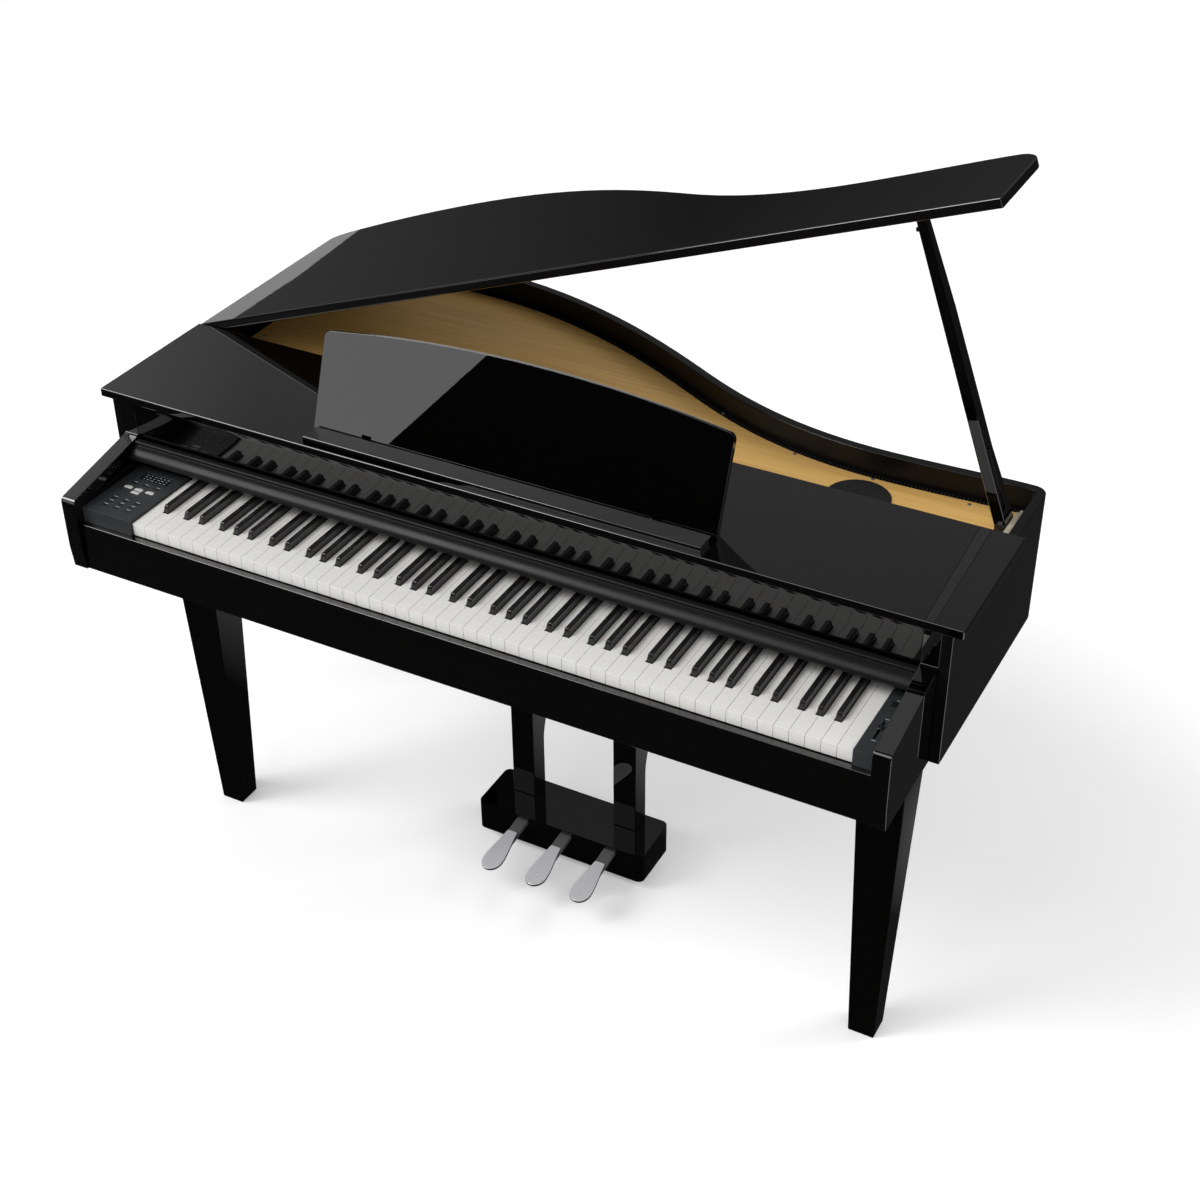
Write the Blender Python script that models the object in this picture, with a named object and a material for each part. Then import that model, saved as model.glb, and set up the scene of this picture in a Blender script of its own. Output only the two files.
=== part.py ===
"""Digital grand piano with an open lid: case, keyboard, music desk, legs and pedal lyre.

Metres, +Z up. The player sits at -Y and the tail points to +Y. Every length along Y is measured
from the fronts of the white keys, and the parent empty puts the middle of the case over the origin.
"""

from math import atan2, cos, hypot, pi, radians, sin

import bmesh
import bpy
from mathutils import Matrix, Vector

# Fit
GAP = 0.0003
RUNNING_GAP = 0.0006

# Place of the key fronts in the finished model
KEY_FRONT_Y = -0.418

# Keyboard
WHITE_KEYS = 52
KEY_PITCH = 0.0235
KEY_SLOT = 0.0009
KEY_HEIGHT = 0.0216
KEY_PIVOT_DROP = 0.0166
SHARP_FRONT = 0.0495
SHARP_RISE = 0.012
SHARP_WIDTH = 0.0104
SHARP_TOP_WIDTH = 0.0086
SHARP_SLANT = 0.0040
SHARP_CLEARANCE = 0.0008
SHARP_FRONT_CLEARANCE = 0.0014
SHARP_SHIFT = {"c": -0.0022, "d": 0.0036, "f": -0.0032, "g": 0.0005, "a": 0.0045}
FIRST_SINGLE_WHITE = 23
SINGLE_WHITES = 7

# Widths, from the keyboard outwards to the edge of the top board
LEFT_PANEL_WIDTH = 0.0966
RIGHT_PANEL_WIDTH = 0.0334
ARM_WIDTH = 0.027
ARM_INSET = 0.016
WALL = 0.0157
LID_OVERHANG = 0.016
ARM_INNER = (LEFT_PANEL_WIDTH + WHITE_KEYS * KEY_PITCH + RIGHT_PANEL_WIDTH) / 2
KEYBOARD_LEFT = LEFT_PANEL_WIDTH - ARM_INNER
ARM_OUTER = ARM_INNER + ARM_WIDTH
CASE_HALF_WIDTH = ARM_OUTER + ARM_INSET
INNER_SIDE = CASE_HALF_WIDTH - WALL
TOP_HALF_WIDTH = CASE_HALF_WIDTH + LID_OVERHANG

# Heights, from the underside of the case to its top edge
CASE_BOTTOM = 0.632
CASE_HEIGHT = 0.2254
CASE_TOP = CASE_BOTTOM + CASE_HEIGHT
LID_REST_GAP = 0.0006
RIM_TOP = CASE_TOP - LID_REST_GAP
BOARD_THICKNESS = 0.018
BOARD_TOP = CASE_BOTTOM + BOARD_THICKNESS
KEY_TOP = BOARD_TOP + 0.0866
KEY_BOTTOM = KEY_TOP - KEY_HEIGHT
KEY_PIVOT_Z = KEY_TOP - KEY_PIVOT_DROP

# Depths, from the fronts of the white keys to the front edge of the lid
NAME_BOARD_FRONT = 0.148
NAME_BOARD_THICKNESS = 0.012
NAME_BOARD_BOTTOM = KEY_TOP + 0.0364
CASE_FRONT = NAME_BOARD_FRONT - 0.0005
KEY_JOINED_FROM = NAME_BOARD_FRONT + 0.002
KEY_LENGTH = NAME_BOARD_FRONT + 0.087
KEY_PIVOT_Y = KEY_LENGTH - 0.015
TOP_DEPTH = 0.2607
TOP_THICKNESS = 0.015
TOP_FRONT = NAME_BOARD_FRONT - 0.0082
TOP_REAR = TOP_FRONT + TOP_DEPTH
LID_FRONT = TOP_REAR + 0.002
EDGE = 0.0015

# Bent rim: the points its outer face passes through
RIM_CORNER = 0.022
TREBLE_DEPTH = 0.1675
SHOULDER_Y = LID_FRONT + TREBLE_DEPTH
HOLLOW_X = 0.6537 * CASE_HALF_WIDTH
HOLLOW_Y = SHOULDER_Y - 0.006
FLARE_X = 0.16 * CASE_HALF_WIDTH
FLARE_Y = SHOULDER_Y + 0.092
TAIL_X = -0.6092 * CASE_HALF_WIDTH
TAIL_Y = SHOULDER_Y + 0.271
TAIL_CORNER = (0.034, 0.033)
SPINE_END_Y = TAIL_Y - 0.069

# Arms beside the keyboard
ARM_FRONT = -0.021
ARM_BOTTOM = CASE_BOTTOM - 0.002
ARM_TOP_FRONT = KEY_TOP + 0.0254
ARM_TOP_REAR = KEY_TOP + 0.0568
ARM_TOP_END = NAME_BOARD_FRONT - 0.0070
FACET_RISE = 0.0032
ARM_REAR = TOP_REAR - 0.0705

# Key slip
SLIP_FRONT = -0.014
SLIP_THICKNESS = 0.0115
SLIP_TOP = KEY_BOTTOM

# Sliding key cover
COVER_ANGLE = radians(8.5)
COVER_TRAVEL = 0.1415
COVER_PLATE = 0.004
COVER_DEPTH = 0.150
COVER_LINE_Z = KEY_TOP + 0.0316
RAIL_FRONT = NAME_BOARD_FRONT - 0.029
RAIL_BACK = NAME_BOARD_FRONT - 0.0015
RAIL_BAR_FRONT = NAME_BOARD_FRONT - 0.0122
RAIL_BAR_HEIGHT = 0.0062
RAIL_BOTTOM = KEY_TOP + 0.0274
RAIL_TOP = KEY_TOP + 0.0539
GUIDE_PIN_RADIUS = 0.003
GUIDE_PIN_LENGTH = 0.0045
GUIDE_PINS = (0.025, 0.140)
GROOVE_DEPTH = 0.0055

# Lid and hinges
LID_LEFT = -(CASE_HALF_WIDTH + 0.010)
LID_OPEN = radians(20)
HINGE_X = -(CASE_HALF_WIDTH + 0.0036)
HINGE_Z = CASE_TOP - 0.0035
HINGE_YS = (LID_FRONT + 0.055, SPINE_END_Y - 0.052)
HINGE_LENGTH = 0.041
KNUCKLE_RADIUS = 0.003
HINGE_PIN_RADIUS = 0.0015
LEAF = 0.0012
LEAF_WIDTH = 0.022
LEAF_POCKET = 0.0016

# Inside the cavity
SOUNDBOARD_TOP = CASE_TOP - 0.0394
SOUNDBOARD_THICKNESS = 0.006
VENT_GAP = 0.011
VENT_WIDTH = 0.024
VENT_THICKNESS = 0.006
CROSS_RAIL_FRONT = TOP_REAR - 0.0145
CROSS_RAIL_THICKNESS = 0.012
CROSS_RAIL_LEDGE = 0.014
CLEAT_WIDTH = 0.0095
CLEAT_REAR = LID_FRONT + 0.096
CLEAT_TOP = CASE_TOP - 0.0044
SPEAKER_X = 0.6296 * CASE_HALF_WIDTH
SPEAKER_Y = LID_FRONT + 0.418 * TREBLE_DEPTH
SPEAKER_RADIUS = 0.0516
SPEAKER_BODY = 0.0455
SPEAKER_MAGNET = 0.030
SPEAKER_DEPTH = 0.052
SPEAKER_FLANGE = 0.0022

# Props
PROP_X = INNER_SIDE - 0.0193
PROP_Z = SOUNDBOARD_TOP + 0.030
PROP_FRONT = LID_FRONT + 0.0435
PROP_DEPTH = 0.034
PROP_DEPTH_MIDDLE = 0.0245
PROP_DEPTH_TOP = 0.0135
PROP_WIDTH = 0.0177
PROP_WIDTH_TOP = 0.0140
PROP_PIN_RADIUS = 0.003
PROP_CHEEK = 0.0042
SHORT_PROP_START = 0.031
SHORT_PROP_LENGTH = 0.0925
SHORT_PROP_SIDE = 0.0076
SHORT_PROP_INSET = 0.0087

# Music desk
DESK_HALF_WIDTH = 0.3475
DESK_THICKNESS = 0.010
DESK_CORNER_HEIGHT = 0.152
DESK_ARCH = 0.024
DESK_CORNER_RADIUS = 0.012
DESK_TILT = radians(20)
LEDGE_HALF_WIDTH = DESK_HALF_WIDTH - 0.0065
LEDGE_FRONT = TOP_FRONT + 0.0092
LEDGE_REAR = LEDGE_FRONT + 0.036
LEDGE_HEIGHT = 0.0096
DESK_Y = LEDGE_REAR + 0.0089
DESK_Z = CASE_TOP + TOP_THICKNESS + GAP + DESK_THICKNESS / 2
DESK_LUG_X = DESK_HALF_WIDTH - 0.0975
DESK_LUG_WIDTH = 0.016
DESK_PIN_RADIUS = 0.0015
STAY_HINGE = 0.066
STAY_INSET = 0.002
STAY_THICKNESS = 0.0035
STAY_WIDTH = 0.024
STAY_PIN_RADIUS = 0.0012
STAY_ANGLE = radians(50)

# Control panels, with places sideways measured from the arm beside them
PANEL_TOP = KEY_TOP + 0.0054
PANEL_FRONT = -0.005
PANEL_REAR = NAME_BOARD_FRONT - 0.0025
BUTTON_PROUD = 0.0008
BUTTON_TRAVEL = 0.0010
BUTTON_DEPTH = 0.003
BUTTON_SIZE = (0.015, 0.006)
BUTTON_CLEARANCE = 0.0004
BUTTON_PLACES = {
    "tempo_button": (0.027, 0.078),
    "value_up_button": (0.048, 0.0775),
    "value_down_button": (0.048, 0.0686),
    "select_button": (0.070, 0.078),
}
DARK_ROWS_Y = (0.018, 0.030, 0.042, 0.0925)
DARK_COLUMNS = (0.028, 0.050, 0.072)
DARK_SIZE = (0.010, 0.005)
DARK_PROUD = 0.0006
DISPLAY_PLACE = (0.0525, 0.1175)
DISPLAY_SIZE = (0.055, 0.021)
DISPLAY_DEPTH = 0.0008
SLIDER_INSET = 0.0165
SLIDER_SLOT_LENGTH = 0.0448
SLIDER_SLOT_WIDTH = 0.004
SLIDER_SLOT_DEPTH = 0.006
SLIDER_SLOT_START = 0.0286
SLIDER_Y = SLIDER_SLOT_START + 0.0253
SLIDER_CAP = (0.008, 0.009)
SLIDER_RISE = 0.0026
POWER_PLACE = (0.017, 0.112)
POWER_SIZE = (0.010, 0.012)

# Legs
LEG_X = CASE_HALF_WIDTH - 0.0895
LEG_Y = CASE_FRONT + 0.066
REAR_LEG_X = TAIL_X + 0.018
REAR_LEG_Y = TAIL_Y - 0.081
LEG_FOOT = 0.0446
LEG_HEAD = 0.082
LEG_EDGE = 0.002

# Lyre
COLUMN_INNER = 0.080
COLUMN_OUTER = 0.124
COLUMN_FRONT = CASE_FRONT + 0.2275
COLUMN_FOOT_DEPTH = 0.039
COLUMN_DEPTH = 0.071
COLUMN_HEAD_DEPTH = 0.087
COLUMN_SWELL_FROM = 0.193
COLUMN_SWELL_TO = 0.412
COLUMN_HEAD_FROM = 0.87
PEDAL_BOX_HALF_WIDTH = 0.166
PEDAL_BOX_FRONT = COLUMN_FRONT - 0.057
PEDAL_BOX_REAR = COLUMN_FRONT + 0.049
PEDAL_BOX_BOTTOM = 0.024
PEDAL_BOX_TOP = 0.084
PEDAL_BOX_CORNER = 0.012

# Pedals
PEDAL_MIDDLE = 0.0843 * PEDAL_BOX_HALF_WIDTH
PEDAL_SPACING = 0.53 * PEDAL_BOX_HALF_WIDTH
PEDAL_PIVOT_Y = COLUMN_FRONT + 0.010
PEDAL_PIVOT_Z = PEDAL_BOX_TOP - 0.012
PEDAL_REACH = 0.127
PEDAL_SLOPE = radians(8.5)
PEDAL_TIP_Z = PEDAL_PIVOT_Z - 0.0095
PEDAL_PLATE_LENGTH = 0.094
PEDAL_PLATE = 0.005
PEDAL_PAD = 0.038
PEDAL_NECK = 0.020
PEDAL_SHANK = 0.022
PEDAL_SHANK_HEIGHT = 0.009
PEDAL_AXLE_RADIUS = 0.0025
PEDAL_CLEARANCE = 0.0012

# Inside the case
MAIN_BOARD_CORNER = (-0.26, 0.47)
MAIN_BOARD_SIZE = (0.32, 0.14)
MAIN_BOARD_THICKNESS = 0.0016
MAIN_BOARD_LIFT = 0.008
MAIN_BOARD_POST = 0.004
INLET_PLACE = (-0.560, 0.640)
INLET_SIZE = (0.030, 0.024, 0.022)
INLET_RECESS = (0.016, 0.010, 0.014)


# Scene and helpers


for old in list(bpy.data.objects):
    bpy.data.objects.remove(old)

piano = bpy.data.objects.new("piano", None)
piano.location = (0, KEY_FRONT_Y, 0)
bpy.context.scene.collection.objects.link(piano)


def finish(name, colour, roughness, metallic=0.0, coat=0.0):
    """A Principled material with one colour."""
    material = bpy.data.materials.get(name)
    if material is None:
        material = bpy.data.materials.new(name)
        material.use_nodes = True
        shader = material.node_tree.nodes["Principled BSDF"]
        shader.inputs["Base Color"].default_value = (*colour, 1)
        shader.inputs["Roughness"].default_value = roughness
        shader.inputs["Metallic"].default_value = metallic
        shader.inputs["Coat Weight"].default_value = coat
    return material


EBONY = finish("polished_ebony", (0.010, 0.011, 0.011), 0.06, coat=0.6)
SATIN = finish("satin_black", (0.020, 0.020, 0.021), 0.45)
IVORY = finish("white_key_plastic", (0.80, 0.79, 0.76), 0.28)
SHARP = finish("black_key_plastic", (0.015, 0.015, 0.015), 0.38)
PANEL = finish("panel_plastic", (0.035, 0.037, 0.040), 0.50)
PALE = finish("pale_plastic", (0.62, 0.62, 0.60), 0.40)
SPRUCE = finish("golden_spruce", (0.62, 0.37, 0.13), 0.40)
CLEAT = finish("pale_wood", (0.42, 0.40, 0.34), 0.60)
CHROME = finish("chrome", (0.62, 0.62, 0.65), 0.08, metallic=1.0)
STEEL = finish("zinc_steel", (0.45, 0.45, 0.46), 0.35, metallic=1.0)
CIRCUIT = finish("circuit_board", (0.02, 0.14, 0.06), 0.50)
CLOTH = finish("speaker_cloth", (0.02, 0.02, 0.02), 0.85)


def piece_from(name, bm, material):
    """Closed bmesh to an object in the piano's own coordinates."""
    bmesh.ops.recalc_face_normals(bm, faces=bm.faces)
    if bm.calc_volume(signed=True) < 0:
        bmesh.ops.reverse_faces(bm, faces=bm.faces)
    mesh = bpy.data.meshes.new(name)
    bm.to_mesh(mesh)
    bm.free()
    mesh.materials.append(material)
    obj = bpy.data.objects.new(name, mesh)
    bpy.context.scene.collection.objects.link(obj)
    return obj


def prism(name, outline, low, high, axis, material):
    """Extrude a closed outline along X, Y or Z from low to high."""
    order = {"x": lambda a, b, c: (c, a, b), "y": lambda a, b, c: (a, c, b), "z": lambda a, b, c: (a, b, c)}
    place = order[axis]
    bm = bmesh.new()
    floor = bm.faces.new([bm.verts.new(place(a, b, low)) for a, b in outline])
    side = bmesh.ops.extrude_face_region(bm, geom=[floor])
    moved = [v for v in side["geom"] if isinstance(v, bmesh.types.BMVert)]
    step = Vector(place(0, 0, high - low))
    bmesh.ops.translate(bm, verts=moved, vec=step)
    return piece_from(name, bm, material)


def box(name, x, y, z, material):
    """Box from three (low, high) pairs."""
    outline = [(x[0], y[0]), (x[1], y[0]), (x[1], y[1]), (x[0], y[1])]
    return prism(name, outline, z[0], z[1], "z", material)


def disc(centre, radius, count, start=0.0):
    """Points of a circle."""
    turns = [start + 2 * pi * k / count for k in range(count)]
    return [(centre[0] + radius * cos(t), centre[1] + radius * sin(t)) for t in turns]


def rod(name, centre, radius, low, high, axis, material, count=16):
    """Round bar along X, Y or Z."""
    return prism(name, disc(centre, radius, count), low, high, axis, material)


def slot(start, end, radius, count=8):
    """Outline of a straight slot with round ends."""
    lean = atan2(end[1] - start[1], end[0] - start[0])
    points = []
    for centre, turn in ((end, -pi / 2), (start, pi / 2)):
        for k in range(count + 1):
            angle = lean + turn + pi * k / count
            points.append((centre[0] + radius * cos(angle), centre[1] + radius * sin(angle)))
    return points


def rounded(x, y, radius, count=4):
    """Outline of a rectangle with round corners."""
    points = []
    corners = ((x[1], y[1], 0), (x[0], y[1], pi / 2), (x[0], y[0], pi), (x[1], y[0], 3 * pi / 2))
    for cx, cy, start in corners:
        mx = cx - radius if cx == x[1] else cx + radius
        my = cy - radius if cy == y[1] else cy + radius
        for k in range(count + 1):
            angle = start + pi / 2 * k / count
            points.append((mx + radius * cos(angle), my + radius * sin(angle)))
    return points


def settle(obj):
    """Apply the modifiers of an object."""
    bpy.context.view_layer.update()
    graph = bpy.context.evaluated_depsgraph_get()
    mesh = bpy.data.meshes.new_from_object(obj.evaluated_get(graph))
    obj.modifiers.clear()
    obj.data = mesh


def combine(obj, operation, *others):
    """Boolean with one or more objects, which are used up."""
    for other in others:
        modifier = obj.modifiers.new("boolean", "BOOLEAN")
        modifier.operation = operation
        modifier.solver = "EXACT"
        modifier.object = other
        settle(obj)
        bpy.data.objects.remove(other)
    return obj


def cut(obj, *others):
    return combine(obj, "DIFFERENCE", *others)


def join(obj, *others):
    return combine(obj, "UNION", *others)


def ease(obj, width=EDGE, segments=2, angle=40):
    """Round the sharp edges of an object."""
    modifier = obj.modifiers.new("edges", "BEVEL")
    modifier.width = width
    modifier.segments = segments
    modifier.limit_method = "ANGLE"
    modifier.angle_limit = radians(angle)
    settle(obj)
    return obj


def place(obj, axis_point=(0, 0, 0), rotation=(0, 0, 0), parent=None, built_at_origin=False):
    """Shade the piece, put its origin on its joint's axis and parent it."""
    if not built_at_origin:
        obj.data.transform(Matrix.Translation(-Vector(axis_point)))
    obj.data.shade_smooth()
    obj.data.set_sharp_from_angle(angle=radians(30))
    obj.parent = parent or piano
    obj.location = axis_point
    obj.rotation_euler = rotation
    return obj


# Bent rim: outer face from the treble side, round the tail to the bass side

KEEP_SHARE = 0.96


def cubic(a, b, c, d, steps):
    """Points of one cubic curve without its last point."""
    points = []
    for k in range(steps):
        t = k / steps
        s = 1 - t
        weights = (s**3, 3 * s * s * t, 3 * s * t * t, t**3)
        points.append(tuple(sum(w * p[i] for w, p in zip(weights, (a, b, c, d))) for i in (0, 1)))
    return points


def towards(start, end, share_x, share_y=0.0):
    """Point a share of the way from one point to another, along X and along Y."""
    return start[0] + share_x * (end[0] - start[0]), start[1] + share_y * (end[1] - start[1])


def rim_curve(front):
    """Outer face of the rim from the right front corner to the left front corner."""
    side = CASE_HALF_WIDTH
    corner = (side, SHOULDER_Y - RIM_CORNER)
    shoulder = (side - RIM_CORNER, SHOULDER_Y)
    hollow = (HOLLOW_X, HOLLOW_Y)
    flare = (FLARE_X, FLARE_Y)
    tail = (TAIL_X, TAIL_Y)
    tail_end = (-side + TAIL_CORNER[0], TAIL_Y - TAIL_CORNER[1])
    spine_end = (-side, SPINE_END_Y)
    points = [(side, front)]
    points += cubic(corner, towards(corner, shoulder, 0, 0.55), towards(shoulder, corner, 0.55), shoulder, 5)
    points += cubic(shoulder, towards(shoulder, hollow, 0.25), towards(hollow, shoulder, 0.40), hollow, 7)
    points += cubic(hollow, towards(hollow, flare, 0.38), towards(flare, hollow, 0.31, 0.63), flare, 9)
    points += cubic(flare, towards(flare, tail, 0.226, 0.397), towards(tail, flare, 0.43), tail, 11)
    points += cubic(tail, towards(tail, tail_end, 0.372), towards(tail_end, tail, 0.304, 0.667), tail_end, 6)
    points += cubic(
        tail_end, towards(tail_end, spine_end, 0.62, 0.167),
        towards(spine_end, tail_end, 0, 0.61), spine_end, 5)
    points += [spine_end, (-side, front)]
    return points


def distance_to(point, line):
    """Shortest distance from a point to an open line of points."""
    nearest = []
    for (ax, ay), (bx, by) in zip(line, line[1:]):
        dx, dy = bx - ax, by - ay
        share = ((point[0] - ax) * dx + (point[1] - ay) * dy) / (dx * dx + dy * dy)
        share = min(max(share, 0), 1)
        nearest.append(hypot(point[0] - ax - share * dx, point[1] - ay - share * dy))
    return min(nearest)


def offset_curve(points, distance):
    """Move an open curve sideways, outwards for a positive distance, without loops at tight corners."""
    moved = []
    for k, (x, y) in enumerate(points):
        before = points[max(k - 1, 0)]
        after = points[min(k + 1, len(points) - 1)]
        dx, dy = after[0] - before[0], after[1] - before[1]
        length = hypot(dx, dy)
        shifted = (x + distance * dy / length, y - distance * dx / length)
        if distance_to(shifted, points) >= KEEP_SHARE * abs(distance):
            moved.append(shifted)
    return moved


def rim_line(distance, front):
    """Curve parallel to the rim's outer face, ending square at the given front."""
    line = offset_curve(rim_curve(front), distance)
    line[0] = (CASE_HALF_WIDTH + distance, front)
    line[-1] = (-CASE_HALF_WIDTH - distance, front)
    return line


def build_case_rim():
    outer = rim_line(0, CASE_FRONT)
    inner = rim_line(-WALL, CASE_FRONT)
    rim = prism("case_rim", outer + inner[::-1], CASE_BOTTOM, RIM_TOP, "z", EBONY)
    place(ease(rim, width=0.0012, segments=1, angle=60))


def build_bottom_board():
    inset = WALL + GAP
    wide = rim_line(-inset, ARM_REAR + GAP)
    narrow = ARM_INNER - GAP
    front = SLIP_FRONT + SLIP_THICKNESS + GAP
    outline = [(narrow, front), (narrow, ARM_REAR + GAP)] + wide
    outline += [(-narrow, ARM_REAR + GAP), (-narrow, front)]
    board = prism("bottom_board", outline, CASE_BOTTOM, BOARD_TOP, "z", SATIN)
    x, y = INLET_PLACE
    wide_x, wide_y = INLET_SIZE[0] / 2 + GAP, INLET_SIZE[1] / 2 + GAP
    hole = box("hole", (x - wide_x, x + wide_x), (y - wide_y, y + wide_y),
               (CASE_BOTTOM - 0.01, BOARD_TOP + 0.01), SATIN)
    place(cut(board, hole))


def arm_outline():
    """Side view of an arm: the rising top in front and the block under the top board."""
    return [
        (ARM_FRONT + 0.004, ARM_BOTTOM),
        (ARM_FRONT, ARM_BOTTOM + 0.040),
        (ARM_FRONT, ARM_TOP_FRONT - 0.008),
        (ARM_FRONT + 0.0025, ARM_TOP_FRONT - 0.0025),
        (ARM_FRONT + 0.008, ARM_TOP_FRONT),
        (ARM_TOP_END, ARM_TOP_REAR),
        (NAME_BOARD_FRONT, ARM_TOP_REAR + FACET_RISE),
        (NAME_BOARD_FRONT, CASE_TOP - GAP),
        (ARM_REAR, CASE_TOP - GAP),
        (ARM_REAR, ARM_BOTTOM),
    ]


def cover_point(along, above=0.0):
    """Point on the key cover's sliding line, measured from the name board's front."""
    y = NAME_BOARD_FRONT + 0.002 + along * cos(COVER_ANGLE) - above * sin(COVER_ANGLE)
    z = COVER_LINE_Z + along * sin(COVER_ANGLE) + above * cos(COVER_ANGLE)
    return y, z


def build_arm(name, side):
    low, high = sorted((side * ARM_INNER, side * ARM_OUTER))
    arm = prism(name, arm_outline(), low, high, "x", EBONY)
    ease(arm, width=0.0012, segments=1, angle=50)
    width = GUIDE_PIN_RADIUS + RUNNING_GAP
    line = slot(cover_point(GUIDE_PINS[0] - COVER_TRAVEL), cover_point(GUIDE_PINS[1]), width, 6)
    inside, deep = sorted((side * (ARM_INNER - 0.01), side * (ARM_INNER + GROOVE_DEPTH)))
    place(cut(arm, prism("groove", line, inside, deep, "x", EBONY)))


def build_key_slip():
    half = ARM_INNER - GAP
    slip = box("key_slip", (-half, half), (SLIP_FRONT, SLIP_FRONT + SLIP_THICKNESS),
               (ARM_BOTTOM, SLIP_TOP), EBONY)
    place(ease(slip))


def build_name_board():
    half = ARM_INNER - GAP
    board = box("name_board", (-half, half), (NAME_BOARD_FRONT, NAME_BOARD_FRONT + NAME_BOARD_THICKNESS),
                (NAME_BOARD_BOTTOM, CASE_TOP - GAP), EBONY)
    place(board)


def build_top_board():
    board = box("top_board", (-TOP_HALF_WIDTH, TOP_HALF_WIDTH), (TOP_FRONT, TOP_REAR),
                (CASE_TOP, CASE_TOP + TOP_THICKNESS), EBONY)
    place(ease(board, width=0.0022))


def build_cross_rail():
    """L-shaped rail under the rear edge of the top board, with a ledge for the soundboard."""
    half = INNER_SIDE - GAP
    back = CROSS_RAIL_FRONT + CROSS_RAIL_THICKNESS
    ledge_top = SOUNDBOARD_TOP - SOUNDBOARD_THICKNESS - GAP
    outline = [
        (CROSS_RAIL_FRONT, BOARD_TOP + GAP),
        (back, BOARD_TOP + GAP),
        (back, ledge_top - 0.012),
        (back + CROSS_RAIL_LEDGE, ledge_top - 0.012),
        (back + CROSS_RAIL_LEDGE, ledge_top),
        (back, ledge_top),
        (back, CASE_TOP - GAP),
        (CROSS_RAIL_FRONT, CASE_TOP - GAP),
    ]
    place(prism("cross_rail", outline, -half, half, "x", SATIN))


# Keyboard


def sharp_shift(boundary):
    """Sideways shift of the black key at a boundary between white keys, or None without one."""
    name = "abcdefg"[boundary % 7 - 1]
    return SHARP_SHIFT.get(name)


def boundary_x(boundary):
    return KEYBOARD_LEFT + boundary * KEY_PITCH


def notch(boundary, reach):
    """Points down one side of a white key's boundary, up to the given depth, for a left-hand key."""
    shift = sharp_shift(boundary)
    edge = boundary_x(boundary)
    if shift is None:
        return [(edge - KEY_SLOT / 2, 0), (edge - KEY_SLOT / 2, reach)]
    neck = edge + shift - SHARP_WIDTH / 2 - SHARP_CLEARANCE
    pocket = SHARP_FRONT - SHARP_FRONT_CLEARANCE
    return [(edge - KEY_SLOT / 2, 0), (edge - KEY_SLOT / 2, pocket), (neck, pocket), (neck, reach)]


def far_notch(boundary, reach):
    """The same for the right-hand key of the boundary, from the depth back to the front."""
    shift = sharp_shift(boundary)
    edge = boundary_x(boundary)
    if shift is None:
        return [(edge + KEY_SLOT / 2, reach), (edge + KEY_SLOT / 2, 0)]
    neck = edge + shift + SHARP_WIDTH / 2 + SHARP_CLEARANCE
    pocket = SHARP_FRONT - SHARP_FRONT_CLEARANCE
    return [(neck, reach), (neck, pocket), (edge + KEY_SLOT / 2, pocket), (edge + KEY_SLOT / 2, 0)]


def sharp_key(name, boundary, rear, bottom):
    """Black key: straight body, then a tapered top with a slanting front."""
    centre = boundary_x(boundary) + sharp_shift(boundary)
    rings = (
        (SHARP_WIDTH / 2, SHARP_FRONT, bottom),
        (SHARP_WIDTH / 2, SHARP_FRONT, KEY_TOP),
        (SHARP_TOP_WIDTH / 2 + 0.0003, SHARP_FRONT + SHARP_SLANT * 0.7, KEY_TOP + SHARP_RISE - 0.0012),
        (SHARP_TOP_WIDTH / 2 - 0.0008, SHARP_FRONT + SHARP_SLANT * 1.3, KEY_TOP + SHARP_RISE),
    )
    bm = bmesh.new()
    levels = []
    for half, front, z in rings:
        corners = ((-half, front), (half, front), (half, rear), (-half, rear))
        levels.append([bm.verts.new((centre + x, y, z)) for x, y in corners])
    bm.faces.new(levels[0][::-1])
    bm.faces.new(levels[-1])
    for lower, upper in zip(levels, levels[1:]):
        for k in range(4):
            after = (k + 1) % 4
            bm.faces.new((lower[k], lower[after], upper[after], upper[k]))
    return piece_from(name, bm, SHARP)


def build_fixed_keys(name, first, last):
    """A stretch of keys joined behind the name board, as a key set is moulded."""
    outline = [(boundary_x(first) + KEY_SLOT / 2, 0)]
    for boundary in range(first + 1, last):
        outline += notch(boundary, KEY_JOINED_FROM)
        outline += far_notch(boundary, KEY_JOINED_FROM)
    outline += [
        (boundary_x(last) - KEY_SLOT / 2, 0),
        (boundary_x(last) - KEY_SLOT / 2, KEY_LENGTH),
        (boundary_x(first) + KEY_SLOT / 2, KEY_LENGTH),
    ]
    keys = prism(name, outline, KEY_BOTTOM, KEY_TOP, "z", IVORY)
    for boundary in range(first + 1, last):
        if sharp_shift(boundary) is not None:
            join(keys, sharp_key("sharp", boundary, KEY_LENGTH - 0.005, KEY_BOTTOM + 0.002))
    place(keys)


def build_single_keys():
    """The middle octave, C to B: every key on its own axis at the fulcrum rail."""
    names = "cdefgab"
    last = FIRST_SINGLE_WHITE + SINGLE_WHITES
    for white in range(FIRST_SINGLE_WHITE, last):
        note = names[white - FIRST_SINGLE_WHITE]
        left = far_notch(white, KEY_LENGTH)
        right = notch(white + 1, KEY_LENGTH)
        key = prism("key_" + note, left + right, KEY_BOTTOM, KEY_TOP, "z", IVORY)
        middle = boundary_x(white) + KEY_PITCH / 2
        place(key, (middle, KEY_PIVOT_Y, KEY_PIVOT_Z))
        if sharp_shift(white + 1) is not None:
            sharp = sharp_key("key_" + note + "_sharp", white + 1, KEY_LENGTH, KEY_BOTTOM)
            centre = boundary_x(white + 1) + sharp_shift(white + 1)
            place(sharp, (centre, KEY_PIVOT_Y, KEY_PIVOT_Z))


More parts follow.
